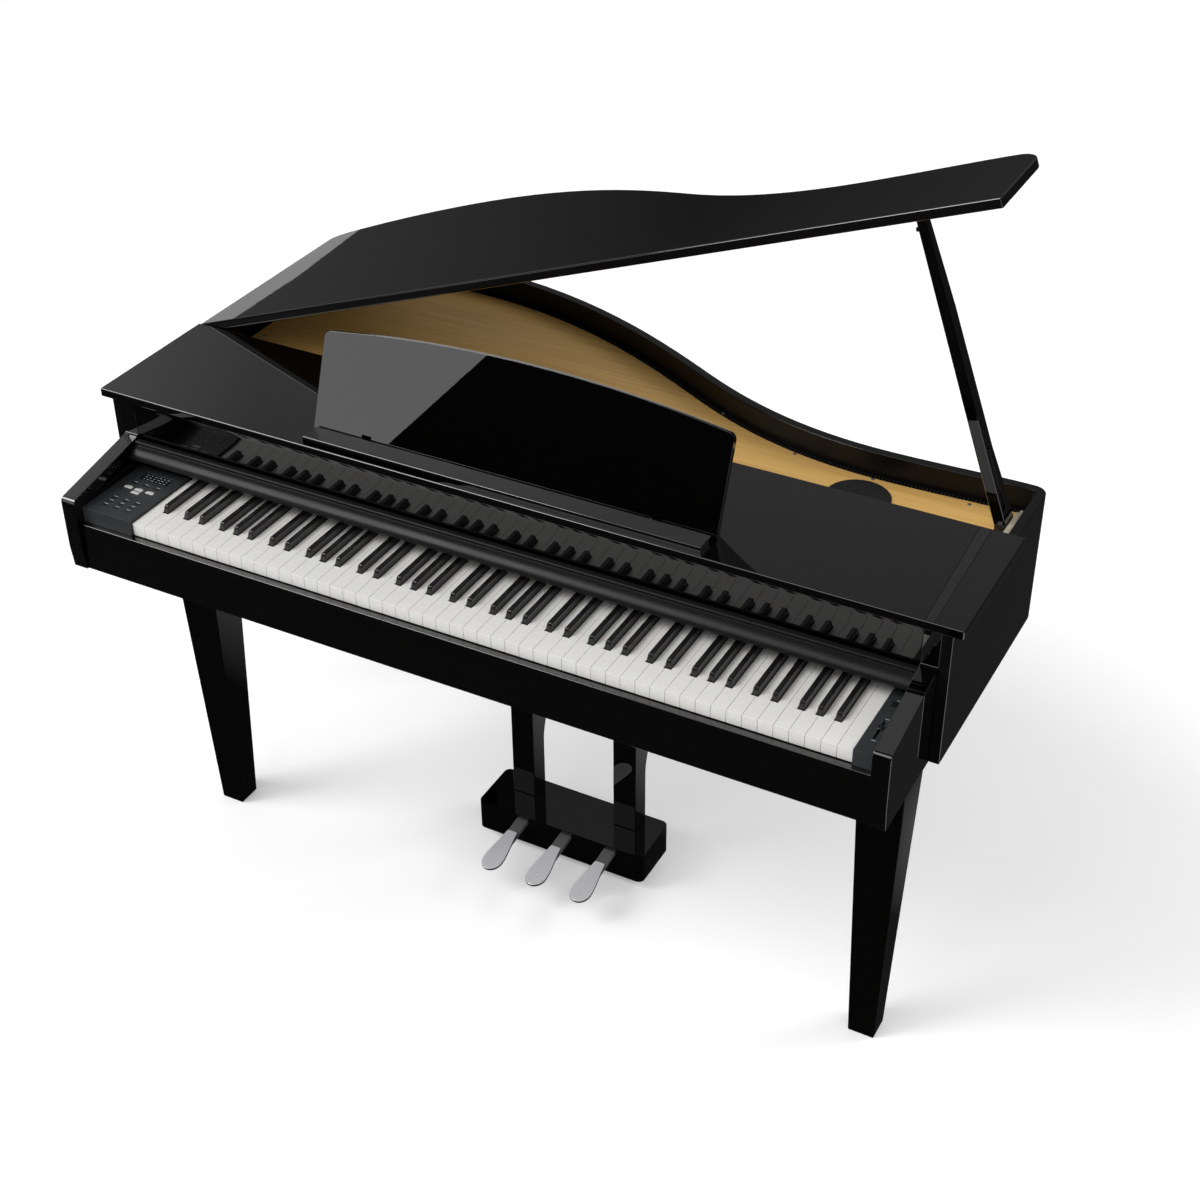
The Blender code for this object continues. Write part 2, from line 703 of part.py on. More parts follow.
def build_key_frame():
    """Chassis under the keys: a stop rail in front and the fulcrum rail behind."""
    low = boundary_x(0) + KEY_SLOT
    high = boundary_x(WHITE_KEYS) - KEY_SLOT
    base = BOARD_TOP + GAP
    stop_top = KEY_BOTTOM - 0.0105
    crest = KEY_BOTTOM - 0.0004
    outline = [
        (0.004, base),
        (KEY_LENGTH + 0.015, base),
        (KEY_LENGTH + 0.015, base + 0.010),
        (KEY_PIVOT_Y + 0.006, base + 0.010),
        (KEY_PIVOT_Y + 0.006, crest - 0.010),
        (KEY_PIVOT_Y + 0.003, crest),
        (KEY_PIVOT_Y - 0.003, crest),
        (KEY_PIVOT_Y - 0.006, crest - 0.010),
        (KEY_PIVOT_Y - 0.006, base + 0.010),
        (0.030, base + 0.010),
        (0.026, stop_top),
        (0.006, stop_top),
    ]
    place(prism("key_frame", outline, low, high, "x", PANEL))


def build_key_cover():
    """Sliding cover: a handle rail across the front and a thin plate behind it on four guide pins."""
    half = ARM_INNER - RUNNING_GAP
    plate = COVER_PLATE / 2
    rail_back_along = (RAIL_BACK - NAME_BOARD_FRONT - 0.002) / cos(COVER_ANGLE)
    outline = [
        (RAIL_BACK, RAIL_BOTTOM),
        cover_point(rail_back_along, -plate),
        cover_point(COVER_DEPTH, -plate),
        cover_point(COVER_DEPTH, plate),
        cover_point(rail_back_along, plate),
        (RAIL_BACK, RAIL_TOP),
        (RAIL_BAR_FRONT + 0.0027, RAIL_TOP),
        (RAIL_BAR_FRONT + 0.0007, RAIL_TOP - 0.0010),
        (RAIL_BAR_FRONT, RAIL_TOP - 0.0030),
        (RAIL_BAR_FRONT + 0.0012, RAIL_TOP - RAIL_BAR_HEIGHT),
    ]
    top = (RAIL_BAR_FRONT - 0.0008, RAIL_TOP - RAIL_BAR_HEIGHT - 0.0010)
    front = (RAIL_FRONT, RAIL_BOTTOM + 0.0040)
    outline += cubic(top, towards(top, front, 0.38, 0.11), towards(front, top, 0, 0.36), front, 7)
    outline += [front, (RAIL_FRONT + 0.0008, RAIL_BOTTOM + 0.0012), (RAIL_FRONT + 0.0025, RAIL_BOTTOM)]
    cover = prism("key_cover", outline, -half, half, "x", SATIN)
    for side in (-1, 1):
        for along in GUIDE_PINS:
            ends = sorted((side * (half - 0.004), side * (ARM_INNER + GUIDE_PIN_LENGTH)))
            pin = rod("pin", cover_point(along), GUIDE_PIN_RADIUS, ends[0], ends[1], "x", SATIN, 12)
            join(cover, pin)
    place(cover, (0, *cover_point(0)))


# Lid, hinges and props


def build_lid():
    """Lid in its closed position, with its origin on the hinge axis."""
    line = [(max(x, LID_LEFT), y) for x, y in rim_line(LID_OVERHANG, LID_FRONT)]
    outline = []
    for x, y in line:
        if not outline or hypot(x - outline[-1][0], y - outline[-1][1]) > 1e-5:
            outline.append((x, y))
    lid = prism("lid", outline, CASE_TOP, CASE_TOP + TOP_THICKNESS, "z", EBONY)
    ease(lid, width=0.0022)
    for y in HINGE_YS:
        half = HINGE_LENGTH / 2 + GAP
        pocket = box("pocket", (HINGE_X - KNUCKLE_RADIUS - GAP, HINGE_X + LEAF_WIDTH + GAP),
                     (y - half, y + half), (CASE_TOP - 0.01, CASE_TOP + LEAF_POCKET), EBONY)
        cut(lid, pocket)
    lid.data.transform(Matrix.Translation((-HINGE_X, 0, -HINGE_Z)))
    return place(lid, (HINGE_X, 0, HINGE_Z), (0, -LID_OPEN, 0), built_at_origin=True)


def build_hinge(number, y, lid):
    """Butt hinge: leaf on the spine's outer face with knuckle and pin, and a leaf let into the lid."""
    third = HINGE_LENGTH / 3
    low, high = y - HINGE_LENGTH / 2, y + HINGE_LENGTH / 2
    face = -CASE_HALF_WIDTH - GAP
    axis = (HINGE_X, HINGE_Z)
    knuckle = rod("hinge_" + number, axis, KNUCKLE_RADIUS, y - third / 2, y + third / 2, "y", STEEL, 14)
    web = box("web", (face - LEAF, face), (y - third / 2, y + third / 2),
              (HINGE_Z - 0.012, HINGE_Z), STEEL)
    leaf = box("leaf", (face - LEAF, face), (low, high),
               (HINGE_Z - LEAF_WIDTH - 0.004, HINGE_Z - KNUCKLE_RADIUS - 0.0008), STEEL)
    pin = rod("pin", axis, HINGE_PIN_RADIUS, low + 0.001, high - 0.001, "y", STEEL, 12)
    place(join(knuckle, web, leaf, pin))

    zero = (0, 0)
    pocket_top = CASE_TOP + LEAF_POCKET - HINGE_Z - GAP
    moving = box("hinge_leaf_" + number, (-KNUCKLE_RADIUS, LEAF_WIDTH), (low, high),
                 (pocket_top - LEAF, pocket_top), STEEL)
    for start, end in ((low, low + third - GAP), (high - third + GAP, high)):
        barrel = rod("barrel", zero, KNUCKLE_RADIUS, start, end, "y", STEEL, 14)
        riser = box("riser", (-KNUCKLE_RADIUS * 0.9, -0.0004), (start, end),
                    (0, pocket_top - LEAF / 2), STEEL)
        join(moving, join(barrel, riser))
    bore = rod("bore", zero, HINGE_PIN_RADIUS + GAP, low - 0.01, high + 0.01, "y", STEEL, 12)
    place(cut(moving, bore), parent=lid, built_at_origin=True)


def prop_length():
    """Distance from the prop's pin to the open lid's underside, less the gap."""
    across = Vector((PROP_X - HINGE_X, PROP_Z - HINGE_Z))
    normal = Vector((-sin(LID_OPEN), cos(LID_OPEN)))
    return (CASE_TOP - HINGE_Z) - across.dot(normal) - GAP


def build_props():
    """Long prop standing square to the open lid, and the short prop nested in its right face."""
    length = prop_length()
    half, half_top = PROP_WIDTH / 2, PROP_WIDTH_TOP / 2
    front = PROP_FRONT
    face = [(half, 0), (half_top, length), (-half_top, length), (-half, 0)]
    face += [(half * cos(pi + pi * k / 8), half * sin(pi + pi * k / 8)) for k in range(1, 8)]
    prop = prism("lid_prop", face, front, front + PROP_DEPTH, "y", EBONY)
    ease(prop, width=0.0008, segments=1, angle=60)
    side = [
        (front - 0.01, -0.02),
        (front + PROP_DEPTH + 0.01, -0.02),
        (front + PROP_DEPTH, 0.030),
        (front + PROP_DEPTH_MIDDLE + 0.001, 0.120),
        (front + PROP_DEPTH_MIDDLE, 0.340),
        (front + PROP_DEPTH_TOP, length + 0.01),
        (front - 0.01, length + 0.01),
    ]
    combine(prop, "INTERSECT", prism("side", side, -0.02, 0.02, "x", EBONY))
    y = front + PROP_DEPTH / 2
    bore = rod("bore", (0, 0), PROP_PIN_RADIUS + RUNNING_GAP, front - 0.01, front + 0.06, "y", EBONY, 14)
    groove_y = front + 0.006
    groove = box("groove", (half - SHORT_PROP_INSET - GAP, 0.02),
                 (groove_y - GAP, groove_y + SHORT_PROP_SIDE + GAP),
                 (SHORT_PROP_START - 0.008, SHORT_PROP_START + SHORT_PROP_LENGTH + 0.002), EBONY)
    knob = rod("knob", (front + 0.006, length - 0.026), 0.0035, -0.0115, -0.004, "x", STEEL, 12)
    join(cut(prop, bore, groove), knob)
    prop.data.transform(Matrix.Translation((0, -y, 0)))
    place(prop, (PROP_X, y, PROP_Z), (0, -LID_OPEN, 0), built_at_origin=True)

    thick = SHORT_PROP_SIDE
    pivot_x = half - SHORT_PROP_INSET + thick / 2
    bar = slot((0, 0), (0, SHORT_PROP_LENGTH - thick / 2), thick / 2, 6)
    short = prism("short_prop", bar, groove_y - y, groove_y - y + SHORT_PROP_SIDE, "y", EBONY)
    place(short, (pivot_x, 0, SHORT_PROP_START), parent=prop, built_at_origin=True)


def build_prop_bracket():
    """Steel fork on the soundboard that holds the prop's pin."""
    inner = PROP_WIDTH / 2
    base = SOUNDBOARD_TOP + GAP
    low, high = PROP_FRONT - RUNNING_GAP - PROP_CHEEK, PROP_FRONT + PROP_DEPTH + RUNNING_GAP + PROP_CHEEK
    plate = box("prop_bracket", (PROP_X - inner, PROP_X + inner - 0.001), (low, high),
                (base, base + 0.003), STEEL)
    top = PROP_Z + 0.007
    for start in (low, high - PROP_CHEEK):
        cheek = rounded((PROP_X - inner + 0.001, PROP_X + inner - 0.002), (base + 0.001, top), 0.005)
        join(plate, prism("cheek", cheek, start, start + PROP_CHEEK, "y", STEEL))
    pin = rod("pin", (PROP_X, PROP_Z), PROP_PIN_RADIUS, low + 0.001, high - 0.001, "y", STEEL, 14)
    place(join(plate, pin))


# Soundboard, vents, cleat and speakers


def build_soundboard():
    front = CROSS_RAIL_FRONT + CROSS_RAIL_THICKNESS + GAP
    line = rim_line(-(WALL + VENT_GAP), front)
    board = prism("soundboard", line, SOUNDBOARD_TOP - SOUNDBOARD_THICKNESS, SOUNDBOARD_TOP, "z", SPRUCE)
    for side in (-1, 1):
        hole = rod("hole", (side * SPEAKER_X, SPEAKER_Y), SPEAKER_BODY + RUNNING_GAP,
                   SOUNDBOARD_TOP - 0.02, SOUNDBOARD_TOP + 0.02, "z", SPRUCE, 28)
        cut(board, hole)
    place(board)


def build_vent_strip():
    """Slotted strip between the soundboard and the rim, which also carries the soundboard's edge."""
    front = CROSS_RAIL_FRONT + CROSS_RAIL_THICKNESS + CROSS_RAIL_LEDGE + GAP
    outer = rim_line(-(WALL + GAP), front)
    inner = rim_line(-(WALL + VENT_WIDTH), front)
    top = SOUNDBOARD_TOP - SOUNDBOARD_THICKNESS - GAP
    place(prism("vent_strip", outer + inner[::-1], top - VENT_THICKNESS, top, "z", SATIN))


def build_cleat():
    """Pale block on the right wall beside the prop, stepped at its rear end."""
    outer = INNER_SIDE - GAP
    inner = outer - CLEAT_WIDTH
    front = CROSS_RAIL_FRONT + CROSS_RAIL_THICKNESS + GAP
    bottom = SOUNDBOARD_TOP - SOUNDBOARD_THICKNESS
    step = CLEAT_WIDTH * 0.45
    outline = [
        (inner, front), (outer, front), (outer, CLEAT_REAR), (inner + step, CLEAT_REAR),
        (inner + step, CLEAT_REAR - 0.008), (inner, CLEAT_REAR - 0.008),
    ]
    place(prism("prop_cleat", outline, bottom, CLEAT_TOP, "z", CLEAT))


def build_speaker(name, x):
    """Driver let into the soundboard: flange and cloth on top, basket and magnet below."""
    profile = [
        (0, 0.0004), (SPEAKER_RADIUS * 0.55, 0.0010), (SPEAKER_RADIUS * 0.86, SPEAKER_FLANGE),
        (SPEAKER_RADIUS - 0.0008, SPEAKER_FLANGE), (SPEAKER_RADIUS, SPEAKER_FLANGE - 0.0008),
        (SPEAKER_RADIUS, 0), (SPEAKER_BODY, 0), (SPEAKER_BODY, -SOUNDBOARD_THICKNESS - 0.004),
        (SPEAKER_MAGNET + 0.002, -0.032), (SPEAKER_MAGNET, -0.034),
        (SPEAKER_MAGNET, -SPEAKER_DEPTH), (0, -SPEAKER_DEPTH),
    ]
    count = 28
    bm = bmesh.new()
    rings = []
    for radius, z in profile:
        height = SOUNDBOARD_TOP + GAP + z
        if radius == 0:
            rings.append([bm.verts.new((x, SPEAKER_Y, height))])
        else:
            points = disc((x, SPEAKER_Y), radius, count)
            rings.append([bm.verts.new((px, py, height)) for px, py in points])
    for upper, lower in zip(rings, rings[1:]):
        for k in range(count):
            after = (k + 1) % count
            corners = [upper[0]] if len(upper) == 1 else [upper[k], upper[after]]
            corners += [lower[0]] if len(lower) == 1 else [lower[after], lower[k]]
            bm.faces.new(corners)
    place(piece_from(name, bm, CLOTH))


# Music desk


def build_desk_ledge():
    """Ledge in front of the desk, with the two lugs and pins that the desk turns on."""
    top = CASE_TOP + TOP_THICKNESS
    ledge = box("desk_ledge", (-LEDGE_HALF_WIDTH, LEDGE_HALF_WIDTH), (LEDGE_FRONT, LEDGE_REAR),
                (top + GAP, top + GAP + LEDGE_HEIGHT), EBONY)
    ease(ledge, width=0.002)
    half = DESK_LUG_WIDTH / 2
    for side in (-1, 1):
        middle = side * DESK_LUG_X
        lug = box("lug", (middle - half, middle + half), (LEDGE_REAR - 0.004, DESK_Y + 0.004),
                  (top + GAP + 0.0004, DESK_Z + 0.004), EBONY)
        pin = rod("pin", (DESK_Y, DESK_Z), DESK_PIN_RADIUS, middle - half - 0.006, middle + half + 0.006,
                  "x", STEEL, 12)
        join(ledge, join(lug, pin))
    place(ledge)


def stay_points():
    """Hinge and foot of the stay when the desk stands up."""
    along = Vector((sin(DESK_TILT), cos(DESK_TILT)))
    across = Vector((cos(DESK_TILT), -sin(DESK_TILT)))
    hinge = Vector((DESK_Y, DESK_Z)) + STAY_HINGE * along + STAY_INSET * across
    foot_z = CASE_TOP + TOP_THICKNESS + GAP + STAY_THICKNESS / 2
    length = (hinge.y - foot_z) / sin(STAY_ANGLE)
    foot = hinge + length * Vector((cos(STAY_ANGLE), -sin(STAY_ANGLE)))
    return hinge, foot, length


def build_desk():
    """Desk board with an arched top and a full-round bottom edge about its pins."""
    half = DESK_HALF_WIDTH
    thick = DESK_THICKNESS / 2
    corner = DESK_CORNER_RADIUS
    outline = [(-half, -thick), (half, -thick)]
    flank = DESK_CORNER_HEIGHT - corner
    for k in range(5):
        angle = pi / 2 * k / 4
        outline.append((half - corner + corner * cos(angle), flank + corner * sin(angle)))
    span = half - corner
    for k in range(1, 16):
        x = span * (1 - k / 8)
        outline.append((x, DESK_CORNER_HEIGHT + DESK_ARCH * (1 - (x / span) ** 2)))
    for k in range(5):
        angle = pi / 2 + pi / 2 * k / 4
        outline.append((-half + corner + corner * cos(angle), flank + corner * sin(angle)))
    bm = bmesh.new()
    floor = bm.faces.new([bm.verts.new((x, -thick, z)) for x, z in outline])
    side = bmesh.ops.extrude_face_region(bm, geom=[floor])
    moved = [v for v in side["geom"] if isinstance(v, bmesh.types.BMVert)]
    bmesh.ops.translate(bm, verts=moved, vec=(0, 2 * thick, 0))
    foot = [e for e in bm.edges if all(abs(v.co.z + thick) < 1e-6 for v in e.verts)]
    foot = [e for e in foot if abs(e.verts[0].co.x - e.verts[1].co.x) > thick]
    bmesh.ops.bevel(bm, geom=foot, offset=thick * 0.98, segments=4, profile=0.5, affect="EDGES")
    desk = piece_from("music_desk", bm, EBONY)

    reach = stay_points()[2] + STAY_THICKNESS / 2 + 0.002
    wide = STAY_WIDTH / 2 + RUNNING_GAP
    pocket = box("pocket", (-wide, wide), (STAY_INSET - STAY_THICKNESS / 2 - RUNNING_GAP, thick + 0.01),
                 (STAY_HINGE - 0.0045, STAY_HINGE + reach), EBONY)
    bore = rod("bore", (STAY_INSET, STAY_HINGE), STAY_PIN_RADIUS + GAP, -wide - 0.003, wide + 0.003,
               "x", EBONY, 10)
    cut(desk, pocket, bore)
    for side in (-1, 1):
        middle = side * DESK_LUG_X
        wide = DESK_LUG_WIDTH / 2 + 0.0025
        hollow = box("notch", (middle - wide, middle + wide), (-0.02, 0.02), (-0.02, 0.0075), EBONY)
        hole = rod("hole", (0, 0), DESK_PIN_RADIUS + GAP, middle - wide - 0.005, middle + wide + 0.005,
                   "x", EBONY, 12)
        cut(desk, hollow, hole)
    return place(desk, (0, DESK_Y, DESK_Z), (-DESK_TILT, 0, 0), built_at_origin=True)


def build_desk_stay():
    """Flat stay that swings out of the desk's back and stands on the top board."""
    hinge, foot, _ = stay_points()
    wide = STAY_WIDTH / 2
    outline = slot(tuple(hinge), tuple(foot), STAY_THICKNESS / 2, 6)
    stay = prism("desk_stay", outline, -wide, wide, "x", STEEL)
    pin = rod("pin", tuple(hinge), STAY_PIN_RADIUS, -wide - 0.0028, wide + 0.0028, "x", STEEL, 10)
    place(join(stay, pin), (0, hinge.x, hinge.y))


# Control panels


def panel_outline():
    """Side view of a key block: panel on top, overhanging the key slip."""
    front = SLIP_FRONT + SLIP_THICKNESS + GAP
    return [
        (front, BOARD_TOP + GAP), (PANEL_REAR, BOARD_TOP + GAP), (PANEL_REAR, PANEL_TOP),
        (PANEL_FRONT + 0.002, PANEL_TOP), (PANEL_FRONT, PANEL_TOP - 0.002),
        (PANEL_FRONT, SLIP_TOP + GAP), (front, SLIP_TOP + GAP),
    ]


def button_well(place_xy, size):
    """Cutter for the pocket that a button sinks into."""
    half_x = size[0] / 2 + BUTTON_CLEARANCE
    half_y = size[1] / 2 + BUTTON_CLEARANCE
    x, y = place_xy
    return box("well", (x - half_x, x + half_x), (y - half_y, y + half_y),
               (PANEL_TOP - BUTTON_DEPTH, PANEL_TOP + 0.01), PANEL)


def build_button(name, place_xy, size, material):
    """Button cap whose travel ends above the floor of its pocket."""
    x, y = place_xy
    outline = rounded((x - size[0] / 2, x + size[0] / 2), (y - size[1] / 2, y + size[1] / 2), 0.0015, 3)
    bottom = PANEL_TOP - BUTTON_DEPTH + BUTTON_TRAVEL + GAP
    cap = prism(name, outline, bottom, PANEL_TOP + BUTTON_PROUD, "z", material)
    place(cap, (x, y, PANEL_TOP))


def build_left_panel():
    side = -ARM_INNER
    panel = prism("left_control_panel", panel_outline(), side + GAP, KEYBOARD_LEFT - RUNNING_GAP, "x", PANEL)
    x, y = side + DISPLAY_PLACE[0], DISPLAY_PLACE[1]
    half_x, half_y = DISPLAY_SIZE[0] / 2, DISPLAY_SIZE[1] / 2
    window = box("window", (x - half_x, x + half_x), (y - half_y, y + half_y),
                 (PANEL_TOP - DISPLAY_DEPTH, PANEL_TOP + 0.01), PANEL)
    cut(panel, window)
    for offset, y in BUTTON_PLACES.values():
        cut(panel, button_well((side + offset, y), BUTTON_SIZE))
    half_x, half_y = DARK_SIZE[0] / 2, DARK_SIZE[1] / 2
    for y in DARK_ROWS_Y:
        for offset in DARK_COLUMNS:
            x = side + offset
            key = box("key", (x - half_x, x + half_x), (y - half_y, y + half_y),
                      (PANEL_TOP - 0.002, PANEL_TOP + DARK_PROUD), PANEL)
            join(panel, key)
    place(panel)
    for name, (offset, y) in BUTTON_PLACES.items():
        build_button(name, (side + offset, y), BUTTON_SIZE, PALE)


def build_right_panel():
    side = ARM_INNER
    low = boundary_x(WHITE_KEYS) + RUNNING_GAP
    panel = prism("right_control_panel", panel_outline(), low, side - GAP, "x", PANEL)
    x, y = side - SLIDER_INSET, SLIDER_Y
    half = SLIDER_SLOT_WIDTH / 2
    slit = box("slit", (x - half, x + half), (SLIDER_SLOT_START, SLIDER_SLOT_START + SLIDER_SLOT_LENGTH),
               (PANEL_TOP - SLIDER_SLOT_DEPTH, PANEL_TOP + 0.01), PANEL)
    power = (side - POWER_PLACE[0], POWER_PLACE[1])
    place(cut(panel, slit, button_well(power, POWER_SIZE)))
    build_button("power_button", power, POWER_SIZE, PANEL)

    stem = half - BUTTON_CLEARANCE
    cap_x, cap_y = SLIDER_CAP[0] / 2, SLIDER_CAP[1] / 2
    seat = PANEL_TOP + GAP
    cap = box("volume_slider", (x - cap_x, x + cap_x), (y - cap_y, y + cap_y),
              (seat, seat + SLIDER_RISE), PANEL)
    ease(cap, width=0.0008, segments=1)
    shaft = box("shaft", (x - stem, x + stem), (y - cap_y * 0.45, y + cap_y * 0.45),
                (PANEL_TOP - SLIDER_SLOT_DEPTH + 0.001, seat + 0.001), PANEL)
    place(join(cap, shaft), (x, y, PANEL_TOP))


# Legs, lyre and pedals


def build_leg(name, x, y):
    """Square leg, tapering to its foot."""
    top = CASE_BOTTOM - GAP
    bm = bmesh.new()
    levels = []
    for side, z in ((LEG_FOOT, 0), (LEG_HEAD, top)):
        corners = rounded((x - side / 2, x + side / 2), (y - side / 2, y + side / 2), LEG_EDGE, 2)
        levels.append([bm.verts.new((px, py, z)) for px, py in corners])
    bm.faces.new(levels[0][::-1])
    bm.faces.new(levels[1])
    count = len(levels[0])
    for k in range(count):
        after = (k + 1) % count
        bm.faces.new((levels[0][k], levels[0][after], levels[1][after], levels[1][k]))
    place(piece_from(name, bm, EBONY))


def build_column(name, side):
    """Lyre column: straight front, with a back that swells above its foot and again under the case."""
    bottom = PEDAL_BOX_TOP + GAP
    height = CASE_BOTTOM - GAP - bottom
    outline = [(COLUMN_FRONT, bottom), (COLUMN_FRONT + COLUMN_FOOT_DEPTH, bottom)]
    for k in range(9):
        t = k / 8
        swell = t * t * (3 - 2 * t)
        share = COLUMN_SWELL_FROM + (COLUMN_SWELL_TO - COLUMN_SWELL_FROM) * t
        depth = COLUMN_FOOT_DEPTH + (COLUMN_DEPTH - COLUMN_FOOT_DEPTH) * swell
        outline.append((COLUMN_FRONT + depth, bottom + share * height))
    for k in range(6):
        t = k / 5
        share = COLUMN_HEAD_FROM + (1 - COLUMN_HEAD_FROM) * t
        depth = COLUMN_DEPTH + (COLUMN_HEAD_DEPTH - COLUMN_DEPTH) * t * t
        outline.append((COLUMN_FRONT + depth, bottom + share * height))
    outline.append((COLUMN_FRONT, bottom + height))
    low, high = sorted((side * COLUMN_INNER, side * COLUMN_OUTER))
    column = prism(name, outline, low, high, "x", EBONY)
    place(ease(column, width=0.0012, segments=1, angle=50))


def build_pedal_box():
    """Box with round corners, three pedal slots and the bores of their axles."""
    half = PEDAL_BOX_HALF_WIDTH
    outline = rounded((-half, half), (PEDAL_BOX_FRONT, PEDAL_BOX_REAR), PEDAL_BOX_CORNER, 5)
    body = prism("pedal_box", outline, PEDAL_BOX_BOTTOM, PEDAL_BOX_TOP, "z", EBONY)
    ease(body, width=0.0012, segments=1, angle=60)
    wide = PEDAL_SHANK / 2 + PEDAL_CLEARANCE
    for k in (-1, 0, 1):
        x = PEDAL_MIDDLE + k * PEDAL_SPACING
        opening = box("opening", (x - wide, x + wide), (PEDAL_BOX_FRONT - 0.01, PEDAL_PIVOT_Y + 0.015),
                      (PEDAL_PIVOT_Z - 0.0145, PEDAL_PIVOT_Z + 0.0055), EBONY)
        bore = rod("bore", (PEDAL_PIVOT_Y, PEDAL_PIVOT_Z), PEDAL_AXLE_RADIUS + GAP,
                   x - wide - 0.005, x + wide + 0.005, "x", EBONY, 12)
        cut(body, opening, bore)
    place(body)


def plate_outline():
    """Plan of a pedal's plate, half round at the tip and drawn in to a neck."""
    widest = (PEDAL_PAD / 2, PEDAL_PAD * 0.6)
    neck = (PEDAL_NECK / 2, PEDAL_PLATE_LENGTH)
    side = cubic(widest, towards(widest, neck, 0, 0.3), towards(neck, widest, 0.22, 0.35), neck, 6) + [neck]
    tip = []
    for k in range(-6, 7):
        angle = pi / 2 * k / 7
        tip.append((widest[0] * sin(angle), widest[1] * (1 - cos(angle))))
    return tip + side + [(-x, y) for x, y in reversed(side)]


def build_pedal(name, x):
    """Pedal with a sloping plate on top of its shank, and an axle through the shank's rear end."""
    tip = PEDAL_BOX_FRONT - PEDAL_REACH
    plate = prism(name, plate_outline(), -PEDAL_PLATE, 0, "z", CHROME)
    ease(plate, width=0.0012, angle=50)
    plate.data.transform(Matrix.Translation((x, tip, PEDAL_TIP_Z)) @ Matrix.Rotation(PEDAL_SLOPE, 4, "X"))

    under = PEDAL_PLATE / 2 / cos(PEDAL_SLOPE)
    start = PEDAL_PLATE_LENGTH * 0.45
    end = PEDAL_PLATE_LENGTH * cos(PEDAL_SLOPE)
    rise = sin(PEDAL_SLOPE) / cos(PEDAL_SLOPE)
    top = PEDAL_PIVOT_Z + 0.004
    low = top - PEDAL_SHANK_HEIGHT
    outline = [
        (tip + start, PEDAL_TIP_Z + start * rise - under),
        (tip + end, PEDAL_TIP_Z + end * rise - under),
        (PEDAL_BOX_FRONT - 0.010, top),
        (PEDAL_PIVOT_Y + 0.010, top),
        (PEDAL_PIVOT_Y + 0.010, low),
        (PEDAL_BOX_FRONT - 0.010, low),
        (tip + start + 0.004, PEDAL_TIP_Z + start * rise - 2 * under - 0.003),
    ]
    half = PEDAL_SHANK / 2
    shank = prism("shank", outline, x - half, x + half, "x", CHROME)
    reach = half + PEDAL_CLEARANCE + 0.004
    axle = rod("axle", (PEDAL_PIVOT_Y, PEDAL_PIVOT_Z), PEDAL_AXLE_RADIUS, x - reach, x + reach,
               "x", STEEL, 12)
    place(join(plate, shank, axle), (x, PEDAL_PIVOT_Y, PEDAL_PIVOT_Z))


# Inside the case


def build_main_board():
    """Circuit board on four posts with its larger components, placed by shares of the board."""
    x, y = MAIN_BOARD_CORNER
    wide, deep = MAIN_BOARD_SIZE
    base = BOARD_TOP + GAP
    deck = base + MAIN_BOARD_LIFT
    face = deck + MAIN_BOARD_THICKNESS
    board = box("main_board", (x, x + wide), (y, y + deep), (deck, face), CIRCUIT)
    inset = 2 * MAIN_BOARD_POST
    for post_x in (x + inset, x + wide - inset):
        for post_y in (y + inset, y + deep - inset):
            post = rod("post", (post_x, post_y), MAIN_BOARD_POST, base, face - MAIN_BOARD_THICKNESS / 3,
                       "z", STEEL, 8)
            join(board, post)
    chips = ((0.19, 0.36, 0.094, 0.21, 0.5), (0.41, 0.64, 0.069, 0.16, 0.4),
             (0.66, 0.29, 0.106, 0.13, 1.5), (0.84, 0.71, 0.050, 0.36, 2.2),
             (0.56, 0.79, 0.125, 0.09, 1.0))
    for across, along, chip_wide, chip_deep, tall in chips:
        left = x + across * wide
        middle = y + along * deep
        half = chip_deep * deep / 2
        chip = box("chip", (left, left + chip_wide * wide), (middle - half, middle + half),
                   (face - MAIN_BOARD_THICKNESS / 3, face + tall * MAIN_BOARD_LIFT), CIRCUIT)
        join(board, chip)
    place(board)


def build_power_inlet():
    """Socket for the mains lead, let into the bottom board, with its recess facing down."""
    x, y = INLET_PLACE
    half_x, half_y, height = INLET_SIZE[0] / 2, INLET_SIZE[1] / 2, INLET_SIZE[2]
    body = box("power_inlet", (x - half_x, x + half_x), (y - half_y, y + half_y),
               (CASE_BOTTOM, CASE_BOTTOM + height), PANEL)
    wide, long = INLET_RECESS[0] / 2, INLET_RECESS[1] / 2
    recess = box("recess", (x - wide, x + wide), (y - long, y + long),
                 (CASE_BOTTOM - 0.01, CASE_BOTTOM + INLET_RECESS[2]), PANEL)
    place(cut(body, recess))


build_case_rim()
build_bottom_board()
build_arm("left_arm", -1)
build_arm("right_arm", 1)
build_key_slip()
build_name_board()
build_top_board()
build_cross_rail()
build_key_frame()
build_fixed_keys("bass_keys", 0, FIRST_SINGLE_WHITE)
build_fixed_keys("treble_keys", FIRST_SINGLE_WHITE + SINGLE_WHITES, WHITE_KEYS)
build_single_keys()
build_key_cover()
the_lid = build_lid()
for hinge_name, hinge_y in zip(("front", "rear"), HINGE_YS):
    build_hinge(hinge_name, hinge_y, the_lid)
build_props()
build_prop_bracket()
build_soundboard()
build_vent_strip()
build_cleat()
build_speaker("left_speaker", -SPEAKER_X)
build_speaker("right_speaker", SPEAKER_X)
build_desk_ledge()
build_desk()
build_desk_stay()
build_left_panel()
build_right_panel()
build_leg("left_leg", -LEG_X, LEG_Y)
build_leg("right_leg", LEG_X, LEG_Y)
build_leg("rear_leg", REAR_LEG_X, REAR_LEG_Y)
build_column("left_lyre_column", -1)
build_column("right_lyre_column", 1)
build_pedal_box()
